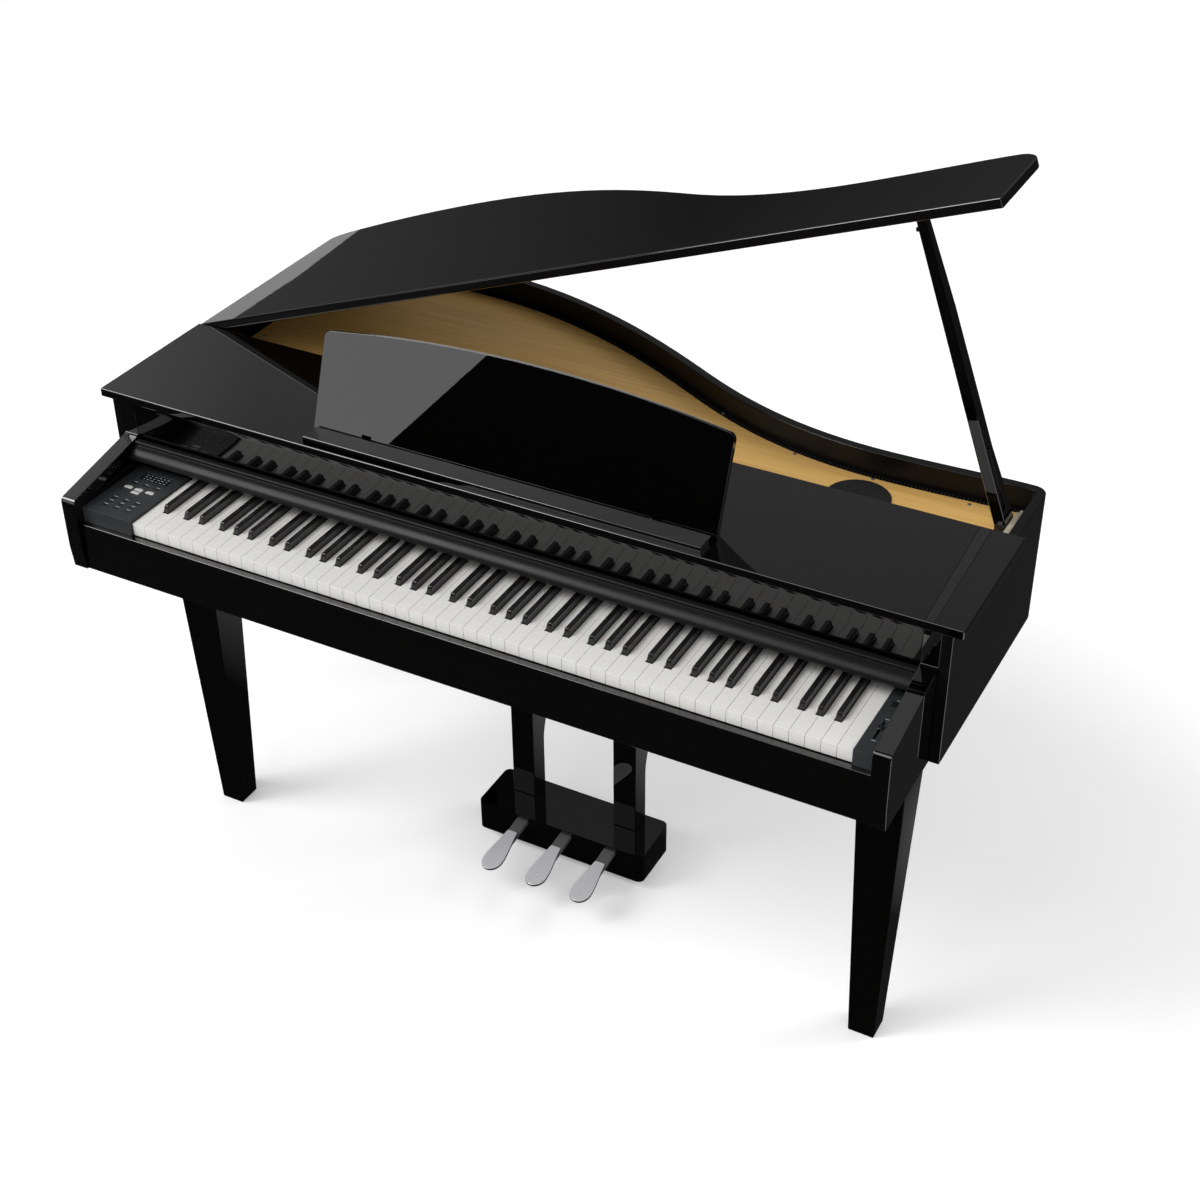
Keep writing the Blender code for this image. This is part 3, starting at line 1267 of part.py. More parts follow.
for pedal_name, pedal_side in (("soft_pedal", -1), ("sostenuto_pedal", 0), ("damper_pedal", 1)):
    build_pedal(pedal_name, PEDAL_MIDDLE + pedal_side * PEDAL_SPACING)
build_main_board()
build_power_inlet()
bpy.context.view_layer.update()
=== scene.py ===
"""Digital grand piano in polished black with its lid open on a prop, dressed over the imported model."""

from math import cos, degrees, hypot, radians, sin, tan

import bmesh
import bpy
from mathutils import Matrix, Vector


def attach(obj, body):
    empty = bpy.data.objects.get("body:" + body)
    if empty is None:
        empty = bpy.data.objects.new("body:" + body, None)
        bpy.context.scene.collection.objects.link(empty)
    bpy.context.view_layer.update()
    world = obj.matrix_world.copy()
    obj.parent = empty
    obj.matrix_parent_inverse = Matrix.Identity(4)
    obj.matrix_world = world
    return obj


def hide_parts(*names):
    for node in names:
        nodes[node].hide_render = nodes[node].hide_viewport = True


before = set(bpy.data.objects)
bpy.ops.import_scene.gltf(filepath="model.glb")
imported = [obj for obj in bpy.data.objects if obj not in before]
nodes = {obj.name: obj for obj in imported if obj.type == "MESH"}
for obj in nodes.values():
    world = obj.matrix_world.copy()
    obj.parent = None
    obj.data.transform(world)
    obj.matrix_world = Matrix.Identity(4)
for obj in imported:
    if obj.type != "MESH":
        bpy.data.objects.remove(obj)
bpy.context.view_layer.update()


# The studio. The camera stands in front and to the treble side, well above the keys.
# A white floor runs out of the picture, and the lacquer mirrors a dim room with one large
# soft light to the left.

bpy.context.scene.view_settings.view_transform = "Standard"

CAMERA_PLACE = (1.30985, -2.36392, 2.39825)
CAMERA_TURN = (radians(55.1499), radians(0.4289), radians(28.0590))
LENS_MM = 58.684
SENSOR_MM = 36
FAR_ENOUGH = 60

bpy.ops.object.select_all(action="DESELECT")
bpy.ops.object.camera_add(location=CAMERA_PLACE, rotation=CAMERA_TURN)
camera = bpy.context.object
camera.data.lens = LENS_MM
camera.data.sensor_width = SENSOR_MM
camera.data.clip_end = FAR_ENOUGH
bpy.context.scene.camera = camera


def workbench(tree):
    """Two short ways to work on a tree: one makes a shader node, one links two nodes."""
    def make(kind):
        return tree.nodes.new("ShaderNode" + kind)

    def link(source, output, target, entry=None):
        tree.links.new(source.outputs[output], target.inputs[output if entry is None else entry])

    return make, link


def level_along(tree, value, span, low, high):
    """Number that goes from low to high while a value crosses a span, and stays level outside it."""
    level = tree.nodes.new("ShaderNodeMapRange")
    for entry, number in zip(("From Min", "From Max", "To Min", "To Max"), (*span, low, high)):
        level.inputs[entry].default_value = number
    tree.links.new(value, level.inputs["Value"])
    return level.outputs["Result"]


def product(tree, one, other, added=None):
    """Two numbers multiplied, with a third added."""
    total = tree.nodes.new("ShaderNodeMath")
    total.operation = "MULTIPLY_ADD"
    total.inputs[2].default_value = 0
    for socket, number in zip(total.inputs, (one, other, added)):
        if number is not None:
            tree.links.new(number, socket)
    return total.outputs[0]


def shader_where(tree, rays, without, instead):
    """One shader, and another one instead for some kind of ray."""
    mix = tree.nodes.new("ShaderNodeMixShader")
    for socket, source in zip(mix.inputs, (rays, without, instead)):
        tree.links.new(source, socket)
    return mix.outputs[0]


FLOOR_SIZE = 40
FLOOR_DROP = 0.0004
FLOOR_COLOUR = (0.95, 0.95, 0.95, 1)
FLOOR_GLOW = 0.22
FLOOR_IN_GLOSS = 0.022
FLOOR_AT_LEFT = 0.062
LEFT_STARTS = (-8, -13)
FLOOR_AT_RIGHT = 0.9
RIGHT_STARTS = (1.12, 1.30)
RIGHT_ENDS = (0.55, 0.30)
FLOOR_BEHIND = 0.34
BEHIND_STARTS = (0.05, 0.30)
BEHIND_ENDS = (0.85, 0.65)

bpy.ops.mesh.primitive_plane_add(size=FLOOR_SIZE, location=(0, 0, -FLOOR_DROP))
floor = bpy.context.object
floor.name = "studio_floor"

floor_paint = bpy.data.materials.new("floor_paint")
floor_paint.use_nodes = True
tree = floor_paint.node_tree
tree.nodes.clear()
make, link = workbench(tree)
floor_out, matt, glow, both = map(make, ("OutputMaterial", "BsdfDiffuse", "Emission", "AddShader"))
matt.inputs["Color"].default_value = FLOOR_COLOUR
glow.inputs["Strength"].default_value = FLOOR_GLOW
link(matt, 0, both, 0)
link(glow, 0, both, 1)
place, split = make("TexCoord"), make("SeparateXYZ")
link(place, "Object", split, 0)
across, back = split.outputs["X"], split.outputs["Y"]
mirrored_level = level_along(tree, across, LEFT_STARTS, FLOOR_IN_GLOSS, FLOOR_AT_LEFT)
mirrored_level = product(tree, level_along(tree, across, RIGHT_STARTS, 0, FLOOR_AT_RIGHT),
                         level_along(tree, back, RIGHT_ENDS, 0, 1), mirrored_level)
mirrored_level = product(tree, level_along(tree, back, BEHIND_STARTS, 0, FLOOR_BEHIND),
                         level_along(tree, across, BEHIND_ENDS, 0, 1), mirrored_level)
mirrored, rays = make("Emission"), make("LightPath")
tree.links.new(mirrored_level, mirrored.inputs["Strength"])
seen = shader_where(tree, rays.outputs["Is Camera Ray"], matt.outputs[0], both.outputs[0])
seen = shader_where(tree, rays.outputs["Is Glossy Ray"], seen, mirrored.outputs[0])
tree.links.new(seen, floor_out.inputs["Surface"])
floor.data.materials.append(floor_paint)

WORLD_FILL = 0.58
GLOSS_STEPS = ((0.0, 0.02), (0.53, 0.021), (0.735, 0.17), (0.79, 0.155), (0.85, 0.30),
               (0.93, 0.42), (1.0, 0.45))
LEFT_GAIN = 3.2
LEFT_SPAN = (-0.56, -0.74)
FRONT_SHARE = 0.12
FRONT_SPAN = (-0.15, 0.15)

world = bpy.data.worlds.new("studio")
bpy.context.scene.world = world
world.use_nodes = True
tree = world.node_tree
tree.nodes.clear()
make, link = workbench(tree)
world_out, white, fill, mirrored = map(make, ("OutputWorld", "Background", "Background", "Background"))
fill.inputs["Strength"].default_value = WORLD_FILL
place, split, steps, rays = map(make, ("TexCoord", "SeparateXYZ", "ValToRGB", "LightPath"))
link(place, "Generated", split, 0)
ramp = steps.color_ramp
for number, (height, level) in enumerate(GLOSS_STEPS):
    step = ramp.elements[number] if number < 2 else ramp.elements.new(height)
    step.position = height
    step.color = (level, level, level, 1)
tree.links.new(level_along(tree, split.outputs["Z"], (-1, 1), 0, 1), steps.inputs["Fac"])
link(steps, "Color", mirrored)
leftward = product(tree, level_along(tree, split.outputs["X"], LEFT_SPAN, 1, LEFT_GAIN),
                   level_along(tree, split.outputs["Y"], FRONT_SPAN, FRONT_SHARE, 1))
tree.links.new(leftward, mirrored.inputs["Strength"])
seen = shader_where(tree, rays.outputs["Is Glossy Ray"], fill.outputs[0], mirrored.outputs[0])
seen = shader_where(tree, rays.outputs["Is Camera Ray"], seen, white.outputs[0])
tree.links.new(seen, world_out.inputs["Surface"])


def named(obj, name):
    obj.name = name
    obj.data.name = name
    return obj


def lamp(kind, name, place, strength, target=None):
    """Lamp at a place, turned so that it shines on a point."""
    bpy.ops.object.light_add(type=kind, location=place)
    light = named(bpy.context.object, name)
    light.data.energy = strength
    if target:
        light.rotation_euler = (Vector(target) - Vector(place)).to_track_quat("-Z", "Y").to_euler()
    return light


def panel_of_light(name, place, strength, sides, target=None):
    """Flat rectangular lamp."""
    light = lamp("AREA", name, place, strength, target)
    light.data.shape = "RECTANGLE"
    light.data.size, light.data.size_y = sides
    return light


key_light = lamp("SUN", "key_light", (-3.0, -2.2, 4.0), strength=1.35, target=(0, 0, 0.4))
key_light.data.angle = radians(28)
side_light = panel_of_light("side_light", (2.6, 1.6, 2.6), strength=34, sides=(1.6, 1.2),
                            target=(0.1, 0.1, 0.8))
side_light.visible_glossy = False
soft_box = panel_of_light("soft_box", (-3.298, -4.0, 1.391), strength=11, sides=(1.7, 1.7))
soft_box.rotation_euler = (radians(90), radians(34.6), 0)
panel_of_light("high_light", (-1.3, -2.9, 3.9), strength=56, sides=(3.6, 2.2), target=(0, -0.2, 0.7))


# The case. A bent rim of laminated board runs from the treble side round the tail to the bass
# side, glued over a flat bottom board. It is sprayed black and polished until it mirrors.

BODY_BLACK = (0.0008, 0.0008, 0.0007)
LACQUER_IOR = 1.52
FINE_EDGE = 0.0012


def new_material(name):
    """A material with one Principled shader, and that shader."""
    material = bpy.data.materials.new(name)
    material.use_nodes = True
    return material, material.node_tree.nodes["Principled BSDF"]


def new_group(name, numbers, outputs):
    """Node group that takes a place and some numbers, with the nodes at its two ends."""
    group = bpy.data.node_groups.new(name, "ShaderNodeTree")
    new_socket = group.interface.new_socket
    new_socket("Vector", in_out="INPUT", socket_type="NodeSocketVector")
    for label in numbers:
        new_socket(label, in_out="INPUT", socket_type="NodeSocketFloat")
    for label, kind in outputs.items():
        new_socket(label, in_out="OUTPUT", socket_type="NodeSocket" + kind)
    return group, group.nodes.new("NodeGroupInput"), group.nodes.new("NodeGroupOutput")


def polish_group():
    """Slight unevenness of a rubbed or moulded surface: roughness in soft patches, and a fine relief."""
    group, start, end = new_group("polish", ("Patch Scale", "Smooth", "Rough", "Relief Scale", "Relief"),
                                  {"Roughness": "Float", "Normal": "Vector"})
    make, link = workbench(group)
    patches, relief, spread, bump = map(make, ("TexNoise", "TexNoise", "MapRange", "Bump"))
    patches.inputs["Detail"].default_value = 4
    relief.inputs["Detail"].default_value = 2
    spread.inputs["From Min"].default_value = 0.3
    spread.inputs["From Max"].default_value = 0.7
    link(start, "Vector", patches)
    link(start, "Patch Scale", patches, "Scale")
    link(patches, 0, spread, "Value")
    link(start, "Smooth", spread, "To Min")
    link(start, "Rough", spread, "To Max")
    link(spread, "Result", end, "Roughness")
    link(start, "Vector", relief)
    link(start, "Relief Scale", relief, "Scale")
    link(relief, 0, bump, "Height")
    link(start, "Relief", bump, "Distance")
    link(bump, "Normal", end)
    return group


POLISH = polish_group()


def surface(name, colour, patch, rough, relief, metallic=0.0, ior=None):
    """Material whose roughness goes between two values in patches, with a fine relief of its own."""
    material, shader = new_material(name)
    shader.inputs["Base Color"].default_value = (*colour, 1)
    shader.inputs["Metallic"].default_value = metallic
    if ior:
        shader.inputs["IOR"].default_value = ior
    make, link = workbench(material.node_tree)
    place, polish = make("TexCoord"), make("Group")
    polish.node_tree = POLISH
    values = {"Patch Scale": patch, "Smooth": rough[0], "Rough": rough[1],
              "Relief Scale": relief[0], "Relief": relief[1]}
    for socket, value in values.items():
        polish.inputs[socket].default_value = value
    link(place, "Object", polish, "Vector")
    link(polish, "Roughness", shader)
    link(polish, "Normal", shader)
    return material, shader


ebony, shader = surface("piano_lacquer", BODY_BLACK, patch=6, rough=(0.002, 0.014),
                        relief=(26, 0.00001), ior=LACQUER_IOR)
shader.inputs["Coat Weight"].default_value = 1.0
shader.inputs["Coat Roughness"].default_value = 0.004
thin_lacquer, _ = surface("thin_lacquer", BODY_BLACK, patch=6, rough=(0.004, 0.02),
                          relief=(26, 0.00001), ior=LACQUER_IOR)
satin, _ = surface("satin_paint", (0.014, 0.014, 0.015), patch=14, rough=(0.36, 0.50),
                   relief=(900, 0.00004))


def deselect():
    """Go back to object mode with nothing selected."""
    if bpy.context.mode != "OBJECT":
        bpy.ops.object.mode_set(mode="OBJECT")
    bpy.ops.object.select_all(action="DESELECT")


def pick(obj):
    """Select one object alone and make it the active one."""
    deselect()
    obj.select_set(True)
    bpy.context.view_layer.objects.active = obj


def edit(piece, chosen="SELECT"):
    """Open one piece for editing with all or nothing of it selected."""
    pick(piece)
    bpy.ops.object.mode_set(mode="EDIT")
    bpy.ops.mesh.select_all(action=chosen)


def board(name, outline, low, high):
    """Board sawn to an outline and as thick as it stands between two heights."""
    deselect()
    bpy.ops.mesh.primitive_circle_add(vertices=len(outline), radius=1, fill_type="NGON")
    piece = named(bpy.context.object, name)
    for vertex, (x, y) in zip(piece.data.vertices, outline):
        vertex.co = (x, y, low)
    edit(piece)
    bpy.ops.mesh.extrude_region_move(TRANSFORM_OT_translate={"value": (0, 0, high - low)})
    bpy.ops.mesh.select_all(action="SELECT")
    bpy.ops.mesh.normals_make_consistent(inside=False)
    deselect()
    return piece


def apply(piece, kind, **settings):
    """Add one modifier with its settings and apply it."""
    pick(piece)
    modifier = piece.modifiers.new(kind.lower(), kind)
    for setting, value in settings.items():
        setattr(modifier, setting, value)
    bpy.ops.object.modifier_apply(modifier=modifier.name)
    return piece


def soften(piece, width, segments=3, angle=40):
    """Round the edges as sanding does, and shade flats flat and curves smooth."""
    apply(piece, "BEVEL", width=width, segments=segments, limit_method="ANGLE",
          angle_limit=radians(angle), use_clamp_overlap=True)
    return smooth(piece)


def smooth(piece, angle=35):
    """Shade curves smooth and keep edges sharper than an angle."""
    pick(piece)
    bpy.ops.object.shade_smooth_by_angle(angle=radians(angle))
    return apply(piece, "WEIGHTED_NORMAL", keep_sharp=True)


def fit(piece, body, slot, material, *stands_for):
    """Give a finished piece its finish, let it ride on a body and stand for its CAD nodes."""
    piece.data.materials.clear()
    piece.data.materials.append(material)
    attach(piece, body)
    if stands_for:
        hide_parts(*stands_for)
    return piece


def paint_where(piece, material, wanted):
    """Give the faces that pass a test a second finish."""
    piece.data.materials.append(material)
    number = len(piece.data.materials) - 1
    for face in piece.data.polygons:
        if wanted(face):
            face.material_index = number


CASE_SIDE = 0.719
CASE_FRONT = -0.2705
CASE_FLOOR = 0.632
RIM_TOP = 0.8568
RIM_WALL = 0.0157
BEND_STEPS = 14
CLEAR_SHARE = 0.98
BEND = (
    ((0.719, 0.130), (0.719, 0.120), (0.719, 0.1421)),
    ((0.697, 0.152), (0.7091, 0.152), (0.640, 0.154)),
    ((0.470, 0.146), (0.560, 0.146), (0.335, 0.146)),
    ((0.115, 0.244), (0.225, 0.182), (-0.010, 0.315)),
    ((-0.438, 0.423), (-0.200, 0.423), (-0.530, 0.423)),
    ((-0.685, 0.390), (-0.610, 0.412), (-0.706, 0.384)),
    ((-0.719, 0.354), (-0.719, 0.376), (-0.719, 0.344)),
)


def draw_bend():
    """Outer face of the rim, drawn as one curve from the treble corner round to the spine."""
    deselect()
    bpy.ops.curve.primitive_bezier_curve_add()
    line = bpy.context.object
    spline = line.data.splines[0]
    spline.bezier_points.add(len(BEND) - 2)
    spline.resolution_u = BEND_STEPS
    for knot, (point, before, after) in zip(spline.bezier_points, BEND):
        knot.handle_left_type = "FREE"
        knot.handle_right_type = "FREE"
        knot.co = (*point, 0)
        knot.handle_left = (*before, 0)
        knot.handle_right = (*after, 0)
    bpy.ops.object.convert(target="MESH")
    line = bpy.context.object
    points = [(v.co.x, v.co.y) for v in line.data.vertices]
    bpy.data.objects.remove(line)
    return points


BEND_LINE = draw_bend()


def distance_to_bend(x, y):
    """Least distance from a point to the rim's outer line."""
    nearest = 1.0
    for (ax, ay), (bx, by) in zip(BEND_LINE, BEND_LINE[1:]):
        dx, dy = bx - ax, by - ay
        share = min(max(((x - ax) * dx + (y - ay) * dy) / (dx * dx + dy * dy), 0), 1)
        nearest = min(nearest, hypot(x - ax - share * dx, y - ay - share * dy))
    return nearest


def round_case(offset, front):
    """Line beside the rim's outer face, outwards for a positive offset, closed off square in front."""
    line = [(CASE_SIDE + offset, front)]
    last = len(BEND_LINE) - 1
    for number, (x, y) in enumerate(BEND_LINE):
        ax, ay = BEND_LINE[max(number - 1, 0)]
        bx, by = BEND_LINE[min(number + 1, last)]
        length = hypot(bx - ax, by - ay)
        moved = (x + offset * (by - ay) / length, y - offset * (bx - ax) / length)
        if distance_to_bend(*moved) >= CLEAR_SHARE * abs(offset):
            line.append(moved)
    line.append((-CASE_SIDE - offset, front))
    return line


rim = board("bent_rim", round_case(0, CASE_FRONT) + round_case(-RIM_WALL, CASE_FRONT)[::-1],
            CASE_FLOOR, RIM_TOP)
soften(rim, FINE_EDGE, 3, 60)
fit(rim, "case", "polished_ebony", ebony, "case_rim")
rim_inside, _ = surface("rim_inside", (0.003, 0.0026, 0.0024), patch=14, rough=(0.32, 0.46),
                        relief=(700, 0.00003), ior=1.3)


def faces_inside(face):
    """Whether a face of the rim is part of its inner wall."""
    x, y, _ = face.center
    upright = abs(face.normal.z) < 0.5
    return upright and abs(x) < CASE_SIDE - RIM_WALL / 2 and distance_to_bend(x, y) > RIM_WALL / 2


paint_where(rim, rim_inside, faces_inside)
paint_where(rim, thin_lacquer, lambda face: face.normal.z > 0.5)

nodes["bottom_board"].material_slots[0].material = satin
nodes["cross_rail"].material_slots[0].material = satin


# The arms and the slip, in the same polished board, glued to the case. Each arm is thick, its top
# rises to the case, and a groove inside it takes the cover's pins. The slip runs across the front
# under the keys.

ARM_INNER = 0.676
ARM_OUTER = 0.703
ARM_FRONT = -0.439
ARM_REAR = -0.088
ARM_LOW = 0.630
ARM_NOSE = 0.7622
ARM_NOSE_RADIUS = 0.010
ARM_SLOPE = 101.6
ARM_TUCK = (0.004, 0.040)
ARM_RISE_END = (-0.277, 0.7934)
ARM_BACK_STEP = (-0.270, 0.7966)
ARM_HIGH = 0.8571
NAME_FRONT = -0.270
COVER_ANGLE = radians(8.5)
COVER_TRAVEL = 0.1415
COVER_LINE = (-0.268, 0.7682)
GUIDE_PINS = (0.025, 0.140)
PIN_RADIUS = 0.003
PIN_ROOM = 0.0006
GROOVE_DEPTH = 0.0055
SAME_POINT = 0.000004
SAME_PLANE = radians(0.2)
OVER_CUT = 0.01


def arc(centre, radius, start, end, steps):
    """Points of a circle's arc between two angles in degrees."""
    turns = [radians(start + (end - start) * k / steps) for k in range(steps + 1)]
    return [(centre[0] + radius * cos(t), centre[1] + radius * sin(t)) for t in turns]


def profile(name, outline, low, high):
    """Bar with one side view, drawn as depth and height, all along between two sides."""
    bar = board(name, outline, low, high)
    bar.data.transform(Matrix(((0, 0, 1, 0), (1, 0, 0, 0), (0, 1, 0, 0), (0, 0, 0, 1))))
    return bar


def carve(piece, *cutters):
    """Cut the cutters out of a piece and clear them away."""
    for cutter in cutters:
        apply(piece, "BOOLEAN", operation="DIFFERENCE", solver="EXACT", object=cutter)
        bpy.data.objects.remove(cutter)
    return piece


def on_cover_line(along, above=0.0):
    """Depth and height of a point on the line the cover slides along."""
    depth = COVER_LINE[0] + along * cos(COVER_ANGLE) - above * sin(COVER_ANGLE)
    return depth, COVER_LINE[1] + along * sin(COVER_ANGLE) + above * cos(COVER_ANGLE)


arm_side = [(ARM_FRONT + ARM_TUCK[0], ARM_LOW), (ARM_FRONT, ARM_LOW + ARM_TUCK[1])]
nose_centre = (ARM_FRONT + ARM_NOSE_RADIUS, ARM_NOSE - ARM_NOSE_RADIUS)
arm_side += arc(nose_centre, ARM_NOSE_RADIUS, 180, ARM_SLOPE, 10)
arm_side += [ARM_RISE_END, ARM_BACK_STEP, (NAME_FRONT, ARM_HIGH), (ARM_REAR, ARM_HIGH), (ARM_REAR, ARM_LOW)]
tilt = degrees(COVER_ANGLE)
groove_radius = PIN_RADIUS + PIN_ROOM
groove_side = arc(on_cover_line(GUIDE_PINS[0] - COVER_TRAVEL), groove_radius, tilt + 90, tilt + 270, 8)
groove_side += arc(on_cover_line(GUIDE_PINS[1]), groove_radius, tilt - 90, tilt + 90, 8)
for node, name, side in (("left_arm", "bass_arm", -1), ("right_arm", "treble_arm", 1)):
    arm = profile(name, arm_side, *sorted((side * ARM_INNER, side * ARM_OUTER)))
    soften(arm, FINE_EDGE, 3, 50)
    groove = profile("groove", groove_side,
                     *sorted((side * (ARM_INNER - OVER_CUT), side * (ARM_INNER + GROOVE_DEPTH))))
    smooth(carve(arm, groove))
    fit(arm, "case", "polished_ebony", ebony, node)


def twin(piece, name):
    """Copy of a piece with its own mesh."""
    other = piece.copy()
    other.data = piece.data.copy()
    bpy.context.scene.collection.objects.link(other)
    return named(other, name)


def refined(node, name, angle=35, edge=0.0):
    """Copy of a plain solid with its triangles joined up, its edges softened and its curves smooth."""
    piece = twin(nodes[node], name)
    piece.parent = None
    piece.matrix_world = Matrix.Identity(4)
    pick(piece)
    bpy.ops.mesh.customdata_custom_splitnormals_clear()
    edit(piece)
    bpy.ops.mesh.remove_doubles(threshold=SAME_POINT)
    bpy.ops.mesh.dissolve_limited(angle_limit=SAME_PLANE)
    deselect()
    if edge:
        apply(piece, "BEVEL", width=edge, segments=2, limit_method="ANGLE", angle_limit=radians(50))
    return smooth(piece, angle)


slip = refined("key_slip", "front_slip", 50)
fit(slip, "case", "polished_ebony", ebony, "key_slip")


# The name board is a plain polished board that stands behind the keys and mirrors them. Its face
# leans forward a little towards the top, where a cove meets the top board that lies over it.

BOARD_SHAPE = (
    (-0.258, 0.773), (-0.2670, 0.773), (-0.2670, 0.7960), (-0.2680, 0.7961), (-0.2688, 0.7963),
    (-0.2693, 0.7967), (-0.26950, 0.7973), (-0.26960, 0.7985), (-0.26965, 0.8000), (-0.26985, 0.8200),
    (-0.27005, 0.8350), (-0.27025, 0.8460), (-0.27040, 0.8490), (-0.27062, 0.8515), (-0.2710, 0.8535),
    (-0.2715, 0.8550), (-0.2715, 0.8571), (-0.258, 0.8571),
)
BOARD_ROOM = 0.0003

bare_board = profile("bare_board", BOARD_SHAPE, -ARM_INNER + BOARD_ROOM, ARM_INNER - BOARD_ROOM)
fit(smooth(bare_board, 50), "case", "polished_ebony", thin_lacquer, "name_board")


def block(name, low, high):
    """Squared block between two corners."""
    deselect()
    bpy.ops.mesh.primitive_cube_add(size=1)
    piece = named(bpy.context.object, name)
    for vertex in piece.data.vertices:
        vertex.co = [high[k] if vertex.co[k] > 0 else low[k] for k in range(3)]
    return piece


TOP_SIDE = 0.735
TOP_FRONT = -0.2782
TOP_BACK = -0.0175
TOP_UNDERSIDE = 0.8574
TOP_FACE = 0.8724
BOARD_EDGE = 0.0024

top = block("front_top", (-TOP_SIDE, TOP_FRONT, TOP_UNDERSIDE), (TOP_SIDE, TOP_BACK, TOP_FACE))
soften(top, BOARD_EDGE, 4)
fit(top, "case", "polished_ebony", ebony, "top_board")


# The lid is one polished board cut to the rim with a small overhang. It turns on two steel butt
# hinges let into the spine, and stands open on the long prop.

LID_FRONT = -0.0155
LID_OVERHANG = 0.016
LID_SPINE = -0.729
LID_OPEN = radians(20)
HINGE_AXIS = (-0.7226, 0, 0.8539)
HINGE_YS = (0.0395, 0.302)
LEAF_POCKET = (0.0225, 0.0209, 0.0016)
KNUCKLE_ROOM = 0.0033
POINTS_APART = 0.0005

outline = []
for x, y in round_case(LID_OVERHANG, LID_FRONT):
    point = (max(x, LID_SPINE), y)
    if not outline or hypot(point[0] - outline[-1][0], point[1] - outline[-1][1]) > POINTS_APART:
        outline.append(point)
lid = board("grand_lid", outline, TOP_UNDERSIDE, TOP_FACE)
soften(lid, BOARD_EDGE, 4)
leaf_long, leaf_half, leaf_thick = LEAF_POCKET
carve(lid, *(block("pocket", (HINGE_AXIS[0] - KNUCKLE_ROOM, y - leaf_half, TOP_UNDERSIDE - OVER_CUT),
                   (HINGE_AXIS[0] + leaf_long, y + leaf_half, TOP_UNDERSIDE + leaf_thick))
             for y in HINGE_YS))
smooth(lid)


def turn(piece, centre, angle, axis):
    """Turn a piece's mesh about an axis through a point."""
    pivot = Matrix.Translation(Vector(centre))
    piece.data.transform(pivot @ Matrix.Rotation(angle, 4, axis) @ pivot.inverted())


turn(lid, HINGE_AXIS, -LID_OPEN, "Y")
fit(lid, "lid", "polished_ebony", ebony, "lid")
paint_where(lid, rim_inside, lambda face: face.normal.y < -0.99)

steel, _ = surface("zinc_steel", (0.42, 0.42, 0.43), patch=60, rough=(0.24, 0.40),
                   relief=(1600, 0.00001), metallic=1.0)

for end in ("front", "rear"):
    fit(refined("hinge_" + end, "spine_hinge_" + end), "case", "zinc_steel", steel, "hinge_" + end)
    fit(refined("hinge_leaf_" + end, "lid_leaf_" + end), "lid", "zinc_steel", steel, "hinge_leaf_" + end)


# The props are polished sticks. The long one turns in a steel fork on the case and stands square
# to the lid, and the short one lies in a groove in its side, on a pin of its own.

WOOD_EDGE = 0.0006
CRISP_EDGE = 0.0004

long_prop = refined("lid_prop", "long_prop_stick", 40)
fit(long_prop, "long_prop", "polished_ebony", ebony, "lid_prop")
short_prop = refined("short_prop", "short_prop_stick", 40, WOOD_EDGE)
fit(short_prop, "nested_prop", "polished_ebony", ebony, "short_prop")
fork = refined("prop_bracket", "prop_fork", 40, CRISP_EDGE)
fit(fork, "case", "zinc_steel", steel, "prop_bracket")


# The soundboard is a golden spruce panel, varnished thin, screwed down round its edge. A slotted
# black strip fills the gap to the rim, and two speakers are let into the panel.

SOUND_TOP = 0.818
SOUND_THICK = 0.006
SOUND_FRONT = -0.0197
SOUND_INSET = 0.0267
SPEAKER = (0.4527, 0.0545)
SPEAKER_HOLE = 0.0462
HOLE_DEPTH = 0.04
SAWN_EDGE = 0.0005
GRAIN_STRETCH = 0.02
GRAIN_HEIGHT = 0.6
DARK_UP_TO = 0.32
PALE_FROM = 0.62


def grain_group():
    """Straight softwood grain along X: fine year lines and broad bands."""
    group, start, end = new_group("wood_grain", ("Line Scale", "Band Scale"),
                                  {"Lines": "Float", "Bands": "Float", "Height": "Float"})
    make, link = workbench(group)
    split, join, squeeze, height = map(make, ("SeparateXYZ", "CombineXYZ", "Math", "Math"))
    squeeze.operation = height.operation = "MULTIPLY"
    squeeze.inputs[1].default_value = GRAIN_STRETCH
    height.inputs[1].default_value = GRAIN_HEIGHT
    link(start, "Vector", split, 0)
    link(split, "X", squeeze, 0)
    link(squeeze, 0, join, "X")
    link(split, "Y", join)
    link(split, "Z", join)
    for scale, result, detail in (("Line Scale", "Lines", 3), ("Band Scale", "Bands", 2)):
        noise = make("TexNoise")
        noise.inputs["Detail"].default_value = detail
        link(join, 0, noise, "Vector")
        link(start, scale, noise, "Scale")
        link(noise, 0, end, result)
        if result == "Lines":
            link(noise, 0, height, 0)
    link(height, 0, end, "Height")
    return group


GRAIN = grain_group()


